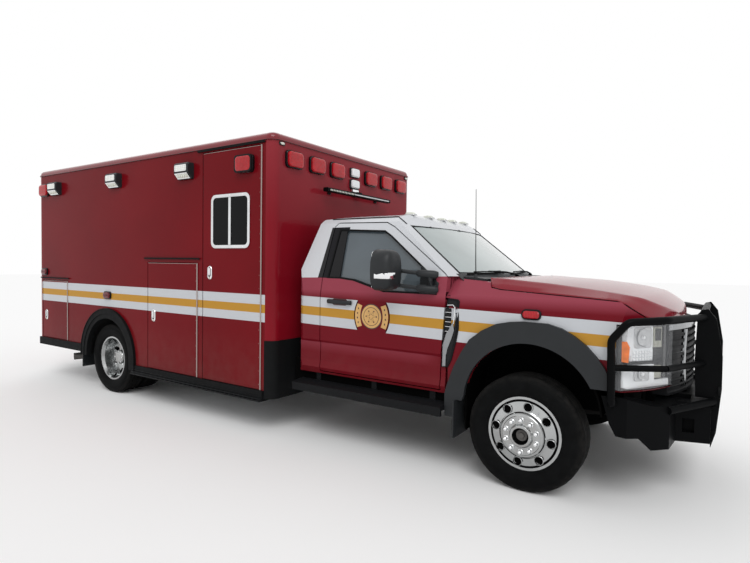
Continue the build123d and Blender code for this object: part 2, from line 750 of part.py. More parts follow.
# Lamps. Side lamps: name, front x, rear x, low z; they stand proud of the wall
lamp_low = 2393
with BuildPart() as red_lamps:
    for y in (-952, -625, -307, 307, 625, 952):
        with BuildSketch(Plane.YZ.offset(-module_start + seat)) as face:
            with Locations((y, 2518)):
                RectangleRounded(lamp_width, lamp_height, 36)
        extrude(face.sketch, amount=lamp_depth)
        with BuildSketch(Plane.YZ.offset(-module_rear - seat)) as face:
            with Locations((y, 2590)):
                RectangleRounded(lamp_width, 110, 36)
        extrude(face.sketch, amount=-lamp_depth)
    for side in (-1, 1):
        for x, z, wide, high, deep in (
            (-6385, lamp_low + lamp_height / 2, lamp_width, lamp_height, lamp_depth),
            (-6409, 1403, 150, 90, 30),
            (-4902, 1155, 150, 90, 30),
        ):
            with BuildSketch(Plane.XZ.offset(-side * (module_side + seat))) as face:
                with Locations((x, z)):
                    RectangleRounded(wide, high, high / 4)
            extrude(face.sketch, amount=-side * deep)
        for z in (1180, 1340, 1500):
            with BuildSketch(Plane.YZ.offset(-module_rear - seat)) as face:
                with Locations((side * 980, z)):
                    RectangleRounded(220, 130, 20)
            extrude(face.sketch, amount=-30)
keep(red_lamps.part, "warning_lamps")

with BuildPart() as flood_lamps:
    for x in (3447, 4721, 6080):
        for side in (-1, 1):
            face_y = side * (module_side + seat)
            prism(Plane.YZ.offset(-x - lamp_width / 2), [
                (face_y, lamp_low),
                (face_y + side * 34, lamp_low),
                (face_y + side * 80, lamp_low + 60),
                (face_y + side * 80, lamp_low + lamp_height - 14),
                (face_y + side * 60, lamp_low + lamp_height),
                (face_y, lamp_low + lamp_height),
            ], lamp_width)
    for z in (2367, 2489):
        with BuildSketch(Plane.YZ.offset(-module_start + seat)) as face:
            with Locations((0, z + 51)):
                RectangleRounded(150, 102, 18)
        extrude(face.sketch, amount=44)
keep(flood_lamps.part, "flood_lamps")

with BuildPart() as light_bar:
    bar_x = -module_start + 84
    with BuildSketch(Plane.XZ.offset(-575)) as face:
        with Locations((bar_x, 2292)):
            RectangleRounded(62, 40, 12)
    extrude(face.sketch, amount=1150)
    for y in (-420, 420):
        block((-module_start + seat, bar_x), (y - 20, y + 20), (2284, 2300))
        block((-module_start + seat, -module_start + 6), (y - 30, y + 30), (2262, 2322))
keep(light_bar.part, "light_bar")


# Cab
cab_back_top = -1975


def side_view(rear, front, low, lift, head):
    """The cab seen from the side, as an outline drawn out across the whole width."""
    with BuildSketch(Plane.XZ.offset(-1200)) as face:
        with BuildLine():
            Polyline(
                (front, low),
                (rear, low),
                (rear, belt_rear),
                (cab_back_top + (rear + cab_rear), 1960 - lift),
            )
            ThreePointArc(
                (cab_back_top + (rear + cab_rear), 1960 - lift),
                (-1700, roof_top - lift),
                (head[0], head[1] - lift),
            )
            Polyline((head[0], head[1] - lift), (front, head[1] - lift), (front, low))
        make_face()
    extrude(face.sketch, amount=2400)


def front_view(inset, lift, low, mode):
    """The cab seen from the front: sill, body side, crease, shoulder, tumblehome and crowned roof."""
    half = [
        (cab_side - 24 - inset, low),
        (cab_side - inset, 640),
        (cab_side - 10 - inset, 700),
        (cab_side - 14 - inset, 862),
        (cab_side - inset, 884),
        (cab_side + 2 - inset, 1300),
        (cab_side - 8 - inset, belt_rear),
        (roof_side - inset, roof_edge),
        (roof_side - 50 - inset, roof_edge + 42 - lift),
    ]
    with BuildSketch(Plane.YZ.offset(-2300)) as face:
        with BuildLine():
            Polyline(*[(-y, z) for y, z in half])
            ThreePointArc((-half[-1][0], half[-1][1]), (0, roof_top + 4 - lift), half[-1])
            Polyline(*reversed(half))
            Line(half[0], (-half[0][0], half[0][1]))
        make_face()
    extrude(face.sketch, amount=2000, mode=mode)


slope_x = screen_head[0] - screen_foot[0]
slope_z = screen_head[1] - screen_foot[1]


def screen_sweep(near, far, mode):
    """A curved sheet that follows the windscreen from below its foot to above its head."""
    start = -0.5
    with BuildSketch(Plane.XY.offset(screen_foot[1] + start * slope_z)) as face:
        with BuildLine():
            foot = screen_foot[0] + start * slope_x
            near_end = foot - near - screen_bow
            far_end = foot - far - screen_bow
            ThreePointArc((near_end, -1100), (foot - near, 0), (near_end, 1100))
            Line((near_end, 1100), (far_end, 1100))
            ThreePointArc((far_end, 1100), (foot - far, 0), (far_end, -1100))
            Line((far_end, -1100), (near_end, -1100))
        make_face()
    length = 1.8 * (slope_x ** 2 + slope_z ** 2) ** 0.5
    extrude(face.sketch, amount=length, dir=(slope_x, 0, slope_z), mode=mode)


screen_frame = [(-842, 1500), (-770, 1895), (770, 1895), (842, 1500)]

with BuildPart() as cab_outer:
    side_view(-cab_rear, -440, cab_bottom, 0, screen_head)
    fillet(cab_outer.edges().filter_by(Axis.Y).group_by(Axis.X)[0].sort_by(Axis.Z)[:1], 20)
    front_view(0, 0, cab_bottom, Mode.INTERSECT)
    screen_sweep(0, -1400, Mode.SUBTRACT)
    block((-cab_rear - 1, 0), (-880, 880), (cab_bottom - 1, cab_under), Mode.SUBTRACT)
    for side in (-1, 1):
        with BuildSketch(Plane.XY.offset(cab_bottom - 1)) as corner:
            with BuildLine():
                Line((-cab_rear - 5, side * (cab_side + 8)), (-cab_rear - 5, side * (cab_side - 90)))
                Line((-cab_rear - 5, side * (cab_side - 90)), (-cab_rear, side * (cab_side - 90)))
                RadiusArc((-cab_rear, side * (cab_side - 90)), (-cab_rear + 92, side * (cab_side + 3)),
                          side * 92)
                Line((-cab_rear + 92, side * (cab_side + 3)), (-cab_rear + 92, side * (cab_side + 8)))
                Line((-cab_rear + 92, side * (cab_side + 8)), (-cab_rear - 5, side * (cab_side + 8)))
            make_face()
        extrude(corner.sketch, amount=belt_rear + 200, mode=Mode.SUBTRACT)
        block((-622, 0), (side * 850, side * 1300), (500, 1478), Mode.SUBTRACT)
with BuildPart() as cab_inner:
    side_view(-cab_rear + cab_wall, -490 - cab_wall, cab_floor, 48, (screen_head[0], screen_head[1]))
    front_view(cab_wall, 48, cab_bottom - 80, Mode.INTERSECT)
    screen_sweep(50, -1400, Mode.SUBTRACT)
    for side in (-1, 1):
        block((-622 - cab_wall, 0), (side * (850 - cab_wall), side * 1300), (500, 1478), Mode.SUBTRACT)

# Cab door outline in (x, z), and its window
door_outline = [
    (-670, 612),
    (-667, 799),
    (-618, 1462),
    (-650, 1496),
    (-1180, 1874),
    (-1262, 1914),
    (-1770, 1924),
    (-1806, 1892),
    (-1828, 1436),
    (-1845, 1267),
    (-1845, 612),
]
window_outline = [
    (-708, 1340),
    (-694, 1424),
    (-738, 1466),
    (-1190, 1800),
    (-1266, 1846),
    (-1745, 1868),
    (-1776, 1440),
    (-1646, 1440),
    (-1500, 1426),
    (-1336, 1382),
    (-1190, 1342),
]
door_plane = Plane.XZ.offset(1100)
hinge_heights = (960, 1330)
hinge_y = cab_side - door_hinge_inset


def grown(outline, amount):
    """An outline moved outward by an amount."""
    with BuildSketch(door_plane) as face:
        with BuildLine():
            Polyline(*outline, close=True)
        make_face()
        if amount:
            offset(amount=amount, kind=Kind.INTERSECTION)
    return face.sketch


door_zone = extrude(grown(door_outline, 0), amount=-400, mode=Mode.PRIVATE)
door_hole = extrude(grown(door_outline, door_gap), amount=-400, mode=Mode.PRIVATE)
window_zone = extrude(grown(window_outline, 0), amount=-400, mode=Mode.PRIVATE)
glass_zone = extrude(grown(window_outline, -seat), amount=-400, mode=Mode.PRIVATE)
cab_shell = cab_outer.part - cab_inner.part
with BuildPart() as door_core:
    side_view(-cab_rear - 10, -440, cab_bottom - 80, 48, screen_head)
    front_view(cab_wall, 48, cab_bottom - 80, Mode.INTERSECT)
with BuildPart() as body_core:
    side_view(-cab_rear - 10, -440, cab_bottom - 80, 57, screen_head)
    front_view(cab_wall + door_gap, 57, cab_bottom - 80, Mode.INTERSECT)

with BuildPart() as door_right:
    add((cab_outer.part & door_zone) - door_core.part)
    add(window_zone, mode=Mode.SUBTRACT)
    for z in hinge_heights:
        block((-door_hinge_x - 24, -560), (-hinge_y - pin_radius - 1, -880), (z - 30, z + 30), Mode.SUBTRACT)
door_solid = door_right.part.solids().sort_by(SortBy.VOLUME)[-1]
keep(door_solid, "cab_door_right")
keep(mirrored(door_solid), "cab_door_left")

with BuildPart() as thin_inner:
    side_view(-cab_rear + cab_wall, -560, cab_floor, 48, screen_head)
    front_view(24 + glass, 48, cab_bottom - 80, Mode.INTERSECT)
with BuildPart() as thin_outer:
    side_view(-cab_rear + cab_wall, -560, cab_floor, 48, screen_head)
    front_view(24, 48, cab_bottom - 80, Mode.INTERSECT)
window_pane = (thin_outer.part - thin_inner.part) & glass_zone
keep(window_pane, "cab_window_right")
keep(mirrored(window_pane), "cab_window_left")

# Cab body below the belt, and the roof with its pillars above it
belt_cut = [(-2400, belt_rear - 14), (0, belt_front + 20), (0, 2400), (-2400, 2400)]
with BuildPart() as cab_body:
    add(cab_shell)
    add(door_hole - body_core.part, mode=Mode.SUBTRACT)
    add(mirrored(door_hole - body_core.part), mode=Mode.SUBTRACT)
    with BuildSketch(Plane.YZ.offset(-cab_rear - 10)) as back_window:
        with Locations((0, 1640)):
            RectangleRounded(1180, 330, 60)
    extrude(back_window.sketch, amount=300, mode=Mode.SUBTRACT)
    prism(Plane.YZ.offset(-1400), screen_frame, 1200, Mode.SUBTRACT)
belt_face = Face(Wire.make_polygon([Vector(x, -1300, z) for x, z in belt_cut]))
upper_zone = Solid.extrude(belt_face, Vector(0, 2600, 0))
with BuildPart() as cab_lower:
    add(cab_body.part - upper_zone)
    for side in (-1, 1):
        with Locations((-door_hinge_x, side * hinge_y, (cab_under + belt_front) / 2)):
            Cylinder(door_swing, belt_front - cab_under, mode=Mode.SUBTRACT)
        bracket = side * (hinge_y - door_swing - 24)
        for z in hinge_heights:
            with Locations((-door_hinge_x, side * hinge_y, z)):
                Cylinder(pin_radius, 60 - 2 * seat)
            block((-door_hinge_x - 8, -door_hinge_x + 8), (side * hinge_y, bracket), (z - 20, z + 20))
keep(cab_lower.part, "cab_body")
keep((cab_body.part & upper_zone).solids().sort_by(SortBy.VOLUME)[-1], "cab_roof")

# Windscreen and rear window panes
with BuildPart() as screen:
    screen_sweep(8, 8 + glass, Mode.ADD)
    prism(Plane.YZ.offset(-1400), [(y * 0.998, z) for y, z in screen_frame], 1200, Mode.INTERSECT)
with BuildPart() as back_pane:
    with BuildSketch(Plane.YZ.offset(-cab_rear + 40)) as face:
        with Locations((0, 1640)):
            RectangleRounded(1180 - 2 * seat, 330 - 2 * seat, 60)
    extrude(face.sketch, amount=glass)
keep(Compound([*screen.part.solids(), *back_pane.part.solids()]), "cab_glass")

# Dashboard with the steering wheel, and two seats
dash_front = -490 - cab_wall - seat
with BuildPart() as dashboard:
    with BuildSketch(Plane.XZ.offset(-780)) as face:
        with BuildLine():
            Polyline((dash_front, 1000), (dash_front, 1330), (-640, 1390), (-800, 1400))
            ThreePointArc((-800, 1400), (-900, 1360), (-930, 1270))
            Polyline((-930, 1270), (-880, 1180), (-760, 1100), (-760, 1000), (dash_front, 1000))
        make_face()
    extrude(face.sketch, amount=1560)
    rod((-840, 400, 1262), (-1052, 400, 1343), 30)
    with BuildSketch(Plane(origin=(-1048, 400, 1342), z_dir=(-0.94, 0, 0.34))) as wheel_face:
        Circle(195)
        Circle(168, mode=Mode.SUBTRACT)
        Rectangle(360, 40)
        Circle(70)
    extrude(wheel_face.sketch, amount=26)
keep(dashboard.part, "dashboard")

with BuildPart() as seats:
    for y in (-420, 420):
        with BuildSketch(Plane.XY.offset(1030)) as face:
            with Locations((-1412, y)):
                RectangleRounded(520, 520, 60)
        extrude(face.sketch, amount=140)
        prism(Plane.XZ.offset(-y - 250), [(-1590, 1160), (-1672, 1160), (-1830, 1660), (-1760, 1680)], 500)
        rod((-1800, y, 1650), (-1826, y, 1710), 30)
        prism(Plane.XZ.offset(-y - 140), [(-1772, 1684), (-1832, 1664), (-1868, 1830), (-1808, 1850)], 280)
        block((-1630, -1180), (y - 200, y + 200), (cab_floor + seat, 1029.7))
keep(seats.part, "seats")

# Front end: one outer form, cut into the hood, the fenders and the headlamps
crown_top = 1533
crown_side = 1430
crown_fall = 0.07
hood_line = [(-600, 1480), (-340, 1478), (224, 1466), (530, 1430), (746, 1372), (857, 1298), (893, 1226)]


def clip_form(inset, front_cut):
    """The whole front end as one solid: side view, front view and plan view combined."""
    with BuildPart() as form:
        with BuildSketch(Plane.XZ.offset(-1200)) as face:
            with BuildLine():
                Polyline(*[(x, z - inset) for x, z in hood_line])
                Polyline((hood_line[-1][0], hood_line[-1][1] - inset), (940, 1150), (940, 560), (-600, 560),
                         (-600, 1480 - inset))
            make_face()
        extrude(face.sketch, amount=2400)
        half = [
            (1006 - inset, 560),
            (1014 - inset, 1000),
            (1012 - inset, 1230),
            (984 - inset, 1338 - inset / 2),
            (932 - inset, 1392 - inset),
            (862 - inset, 1462 - inset),
            (800 - inset, 1474 - inset),
        ]
        with BuildSketch(Plane.YZ.offset(-700)) as front:
            with BuildLine():
                Polyline(*[(-y, z) for y, z in half])
                ThreePointArc((-half[-1][0], half[-1][1]), (0, 1490 - inset), half[-1])
                Polyline(*reversed(half))
                Line(half[0], (-half[0][0], half[0][1]))
            make_face()
        extrude(front.sketch, amount=1800, mode=Mode.INTERSECT)
        with BuildSketch(Plane.XY.offset(500)) as plan:
            with BuildLine():
                nose = 893 - front_cut
                Polyline((-600, -1200), (600 - front_cut, -1200), (600 - front_cut, -1014))
                ThreePointArc((600 - front_cut, -1014), (800 - front_cut, -730), (nose - 12, -350))
                ThreePointArc((nose - 12, -350), (nose, 0), (nose - 12, 350))
                ThreePointArc((nose - 12, 350), (800 - front_cut, 730), (600 - front_cut, 1014))
                Polyline((600 - front_cut, 1014), (600 - front_cut, 1200), (-600, 1200), (-600, -1200))
            make_face()
        extrude(plan.sketch, amount=1200, mode=Mode.INTERSECT)
        with BuildSketch(Plane.YZ.offset(-700)) as crown:
            with BuildLine():
                ThreePointArc((-1100, crown_side - inset), (0, crown_top - inset), (1100, crown_side - inset))
                Polyline((1100, crown_side - inset), (1100, 300), (-1100, 300), (-1100, crown_side - inset))
            make_face()
        extrude(crown.sketch, amount=1800, dir=(1, 0, -crown_fall), mode=Mode.INTERSECT)
    return form.part


clip_outer = clip_form(0, 0)
clip_inner = clip_form(skin, skin)
clip_shell = clip_outer - clip_inner
shut_line = [(-348, 1500), (-300, 1404), (-226, 1392), (590, 1346), (700, 1262), (760, 1210), (960, 1205)]
shut_gap = 3


def above_shut(lift):
    """Everything above and ahead of the line where the hood closes."""
    outline = [(x + lift, z + lift) for x, z in shut_line] + [(1000, 1700), (-348 + lift, 1700)]
    face = Face(Wire.make_polygon([Vector(x, -1300, z) for x, z in outline]))
    return Solid.extrude(face, Vector(0, 2600, 0))


hood_zone = above_shut(shut_gap)
with BuildPart() as hood:
    add(clip_shell & hood_zone)
    for side in (-1, 1):
        rod((hood_hinge[0], side * 700, hood_hinge[1]), (hood_hinge[0], side * 640, hood_hinge[1]), 10)
        block((hood_hinge[0], hood_hinge[0] + 60), (side * 700, side * 640),
              (hood_hinge[1] - 6, hood_hinge[1] + 18))
keep(hood.part, "hood")

lamp_zone_low = 782
lamp_zone_high = 1200
lamp_inner = 600
# Height and mouth radius of the two reflector bowls
lamp_bowls = ((1118, 74), (872, 56))
with BuildPart() as fender_shell:
    add(clip_shell - above_shut(-shut_gap))
    block((-700, 1000), (-lamp_inner, lamp_inner), (400, 1600), Mode.SUBTRACT)
    block((-700, 560), (-856, 856), (400, 1600), Mode.SUBTRACT)
    for side in (-1, 1):
        block((566 - seat, 1000), (side * (lamp_inner - 10), side * 1100),
              (lamp_zone_low - 4, lamp_zone_high + 4), Mode.SUBTRACT)
        rod((arch_x, side * 700, arch_z), (arch_x, side * 1100, arch_z), wheel_arch, Mode.SUBTRACT)
        block((-500, 1000), (side * 700, side * 1100), (500, 690), Mode.SUBTRACT)
        block((428, 1000), (side * 600, side * 1100), (500, 776), Mode.SUBTRACT)
fenders = Compound([s for s in fender_shell.part.solids() if s.volume > 1e6])
keep(fenders, "fenders")

with BuildPart() as headlamp:
    add(clip_outer)
    add(clip_form(skin, 110), mode=Mode.SUBTRACT)
    block((-700, 566), (-1300, 1300), (400, 1600), Mode.SUBTRACT)
    block((-700, 1000), (-lamp_inner - 4, 1300), (400, 1600), Mode.SUBTRACT)
    block((-700, 1000), (-1300, 1300), (lamp_zone_high, 1600), Mode.SUBTRACT)
    block((-700, 1000), (-1300, 1300), (400, lamp_zone_low), Mode.SUBTRACT)
    for z, mouth in lamp_bowls:
        with BuildSketch(Plane(origin=(860, -818, z), z_dir=(-1, 0.22, 0))) as bowl:
            Circle(mouth)
        extrude(bowl.sketch, amount=170, taper=16, mode=Mode.SUBTRACT)
    block((722, 1000), (-918, -700), (982, 1036), Mode.SUBTRACT)
    block((590, 646), (-1100, -1002), (964, 1100), Mode.SUBTRACT)
both_sides(headlamp.part, "headlamps")

# Wheel flares on the front fenders, and the mud flaps
flare_edge = [
    (-606, 429),
    (-608, 598),
    (-590, 668),
    (-538, 810),
    (-480, 922),
    (-418, 1021),
    (-325, 1095),
    (-217, 1151),
    (-120, 1172),
    (-25, 1181),
    (142, 1178),
    (235, 1153),
    (316, 1111),
    (392, 1056),
    (457, 987),
    (505, 922),
    (540, 854),
    (548, 780),
    (400, 780),
    (400, 600),
    (-456, 600),
    (-470, 562),
    (-524, 562),
    (-524, 429),
]
with BuildPart() as flare:
    prism(Plane.XZ.offset(980), flare_edge, cab_side + 2 + flare_proud - 980)
    rod((arch_x, -900, arch_z), (arch_x, -1100, arch_z), wheel_arch, Mode.SUBTRACT)
    add(clip_outer, mode=Mode.SUBTRACT)
with BuildPart() as flaps:
    block((-520, -508), (-1090, -830), (285, 560))
    block((-wheelbase - 658, -wheelbase - 646), (-1170, -700), (230, 470))
flare_solids = [s for s in flare.part.solids() if s.volume > 1e5]
flare_set = Compound([*flare_solids, *flaps.part.solids()])
both_sides(flare_set, "flares_and_flaps")

# Cowl below the windscreen with the aerial
with BuildPart() as cowl:
    prism(Plane.XZ.offset(-838), [
        (-618, 1440),
        (-596, 1478),
        (-470, 1474),
        (-372, 1464),
        (-372, 1440),
    ], 1676)
    screen_sweep(-2 * seat, 1400, Mode.SUBTRACT)
    for side in (-1, 1):
        for y in (700 + seat, 618 - seat):
            rod((hood_hinge[0], side * y, hood_hinge[1]), (hood_hinge[0], side * (y + 22), hood_hinge[1]),
                10)
            block((-420, hood_hinge[0]), (side * y, side * (y + 22)), (hood_hinge[1] - 6, 1446))
keep(cowl.part, "cowl")

# Grille: a bowed surround and bowed bars
grille_half = 592


def bowed(near, far, low, high, half, mode=Mode.ADD):
    """A slice of the bowed nose between two depths and two heights."""
    with BuildSketch(Plane.XY.offset(low)) as face:
        with BuildLine():
            ThreePointArc((825 - near, -half), (950 - near, 0), (825 - near, half))
            Line((825 - near, half), (825 - far, half))
            ThreePointArc((825 - far, half), (950 - far, 0), (825 - far, -half))
            Line((825 - far, -half), (825 - near, -half))
        make_face()
    extrude(face.sketch, amount=high - low, mode=mode)


with BuildPart() as grille:
    bowed(0, 90, 704, 1192, grille_half)
    bowed(-10, 70, 744, 1150, grille_half - 44, Mode.SUBTRACT)
    for n in range(6):
        z = 774 + n * 66
        bowed(14, 78, z, z + 26, grille_half - 40)
    for y in (-200, 200):
        block((800, 905), (y - 12, y + 12), (740, 1154))
    block((640, 700), (-350, 350), (700, 1180))
    for side in (-1, 1):
        block((694, 850), (side * 330, side * 420), (700 + seat, 740))
        block((765, 800), (side * (grille_half - 4), side * (lamp_inner + 4 - seat)), (900, 960))
keep(grille.part, "grille")

# Front bumper with its swept wings: the lines along the wing's top and its foot in (x, z)
plate_foot = 1078
wing_top = [(627, 739), (756, 688), (860, 672), (1200, 672), (1200, 760), (400, 760), (400, 739)]
wing_foot = [(400, 739), (487, 739), (536, 568), (577, 491), (701, 482), (764, 402), (764, 380), (400, 380)]
tube_front = (1092, 472, 682)
tube_rear = (852, 792, 652)
with BuildPart() as bumper:
    with BuildSketch(Plane.XY.offset(400)) as plan:
        with BuildLine():
            half = [
                (plate_foot - seat, 500),
                (880, 560),
                (860, 780),
                (640, 1010),
                (487, 1010),
                (487, 984),
                (610, 970),
                (760, 740),
            ]
            Polyline(*half, *[(x, -y) for x, y in reversed(half)], close=True)
        make_face()
    extrude(plan.sketch, amount=340)
    prism(Plane.XZ.offset(-1100), wing_top, 2200, Mode.SUBTRACT)
    prism(Plane.XZ.offset(-1100), wing_foot, 2200, Mode.SUBTRACT)
    block((900, 1200), (-450, 450), (430, 640), Mode.SUBTRACT)
    for side in (-1, 1):
        block((918, 987), (side * 490, side * 620), (464, 559), Mode.SUBTRACT)
        rod((tube_front[0], side * tube_front[1], tube_front[2]),
            (tube_rear[0], side * tube_rear[1], tube_rear[2]), 27, Mode.SUBTRACT)
    for side in (-1, 1):
        rail_y = (side * (rail_outer - 60), side * rail_outer)
        block((rail_front + seat, 960), rail_y, (rail_foot, 700))
        block((rail_front + seat, rail_front + 12), rail_y, (600, rail_top - 10))
keep(bumper.part, "front_bumper")

# Brush guard: two upright plates, cross tubes and wrap-round hoops
plate_outline = [(984, 700), (974, 950), (984, 1259), (1012, 1290), (1044, 1297), (1092, 1232), (1133, 985),
                 (1134, 768), (1109, 478), (1081, 374), (plate_foot, 374), (plate_foot, 700)]
with BuildPart() as guard:
    for side in (-1, 1):
        prism(Plane.XZ.offset(-side * guard_plate_y - guard_plate / 2), plate_outline, guard_plate)
        inner = side * (guard_plate_y - 2)
        hoop = [
            (1030, inner, 1240),
            (840, side * 900, 1240),
            (640, side * 1064, 1226),
            (548, side * 1072, 1110),
            (556, side * 1072, 700),
            (556, side * (1010 + seat), 700),
        ]
        with BuildLine() as path:
            FilletPolyline(*hoop, radius=[90, 60, 70, 34])
        with BuildSketch(Plane(origin=hoop[0], z_dir=Vector(*hoop[1]) - Vector(*hoop[0]))) as tube:
            Circle(guard_tube)
        sweep(tube.sketch, path=path.line)
        rod((1026, inner, 930), (840, side * 890, 935), 20)
        rod((840, side * 890, 935), (556, side * 1068, 935), 20)
    for z, x in ((1268, 1020), (690, 1098)):
        rod((x, -guard_plate_y, z), (x, guard_plate_y, z), guard_tube)
    for side in (-1, 1):
        rod((tube_front[0], side * tube_front[1], tube_front[2]),
            (tube_rear[0], side * tube_rear[1], tube_rear[2]), 25)
keep(guard.part, "brush_guard")

# Step boards along the cab
with BuildPart() as boards:
    prism(Plane.YZ.offset(-2090), [
        (-1100, 430),
        (-1110, 500),
        (-1000, 512),
        (-870, 512),
        (-870, 480),
        (-1080, 470),
        (-1080, 430),
    ], 1478)
    for x in (-1900, -1300, -750):
        block((x - 25, x + 25), (-1060, -rail_outer - seat), (470, 490))
        block((x - 25, x + 25), (-rail_outer - 12, -rail_outer - seat), (470, 700))
        block((x - 25, x + 25), (-960, -900), (500, cab_bottom - seat))
both_sides(boards.part, "step_boards")

# Mirrors on the cab doors
with BuildPart() as near_cab:
    side_view(-cab_rear - 10, -440, cab_bottom - 80, 0, screen_head)
    front_view(-seat, 0, cab_bottom - 80, Mode.INTERSECT)
grown_cab = near_cab.part

with BuildPart() as mirror_right:
    prism(Plane.XZ.offset(cab_side - 60), [(-640, 1350), (-660, 1500), (-790, 1420), (-800, 1350)], 88)
    add(grown_cab, mode=Mode.SUBTRACT)
    rod((-700, -1035, 1500), (-960, -1150, 1545), 18)
    rod((-720, -1035, 1385), (-960, -1150, 1420), 18)
    with BuildSketch(Plane.YZ.offset(-1100)) as face:
        with Locations((-1222, 1520)):
            RectangleRounded(246, 318, 60)
    head = extrude(face.sketch, amount=160, mode=Mode.PRIVATE)
    add(head.solid().fillet(54, head.edges().group_by(Axis.X)[-1]))
keep(mirror_right.part, "mirror_right")
keep(mirrored(mirror_right.part), "mirror_left")
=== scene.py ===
import math

import bmesh
import bpy
from mathutils import Matrix, Vector
from mathutils.bvhtree import BVHTree


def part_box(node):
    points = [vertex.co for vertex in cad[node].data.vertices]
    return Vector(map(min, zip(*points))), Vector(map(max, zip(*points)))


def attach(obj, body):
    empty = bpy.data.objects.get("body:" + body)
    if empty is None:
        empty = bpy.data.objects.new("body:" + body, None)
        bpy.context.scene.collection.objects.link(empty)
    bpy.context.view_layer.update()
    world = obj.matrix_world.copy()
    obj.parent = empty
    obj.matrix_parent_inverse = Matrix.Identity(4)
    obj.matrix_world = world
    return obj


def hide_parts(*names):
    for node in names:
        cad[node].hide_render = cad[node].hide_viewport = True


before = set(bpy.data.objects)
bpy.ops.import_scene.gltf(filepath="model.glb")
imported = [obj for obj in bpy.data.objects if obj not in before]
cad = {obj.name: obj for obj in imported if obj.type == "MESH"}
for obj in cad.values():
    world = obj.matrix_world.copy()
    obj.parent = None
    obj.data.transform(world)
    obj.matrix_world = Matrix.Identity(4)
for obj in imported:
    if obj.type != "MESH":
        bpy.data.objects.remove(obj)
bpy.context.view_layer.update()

# Sizes are in millimetres, with X counted from the front axle; point() and ahead() turn
# them into the frame's own metres. Finishes work in the frame's metres.
AXLE_X = 2866
WHEELBASE = 4902
HUB_Z = 405
MODULE_SIDE = 1212
MODULE_FRONT = -2240
MODULE_REAR = -6586
ARCH_CENTRE = 435
RUB_DEPTH = 22
SKIRT_FOOT = 299
BELT_Z = 1.437
ROOT = "vehicle"
SIDES = (("right", -1), ("left", 1))


def point(x, y, z):
    return Vector(((x + AXLE_X) / 1000, y / 1000, z / 1000))


def ahead(x):
    return (x + AXLE_X) / 1000


def placed(name, data):
    """Puts a mesh, a lamp or a camera into the scene."""
    thing = bpy.data.objects.new(name, data)
    bpy.context.scene.collection.objects.link(thing)
    return thing


def joined(piece, body, slot, *replaced):
    """Hangs a piece on its body's empty and hides the CAD nodes it stands for; the slot is not used."""
    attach(piece, body)
    if replaced:
        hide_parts(*replaced)


# Finishes

SOFT_EDGE = 0.0006
SHARP_EDGE = 0.0002
FINISH = {}


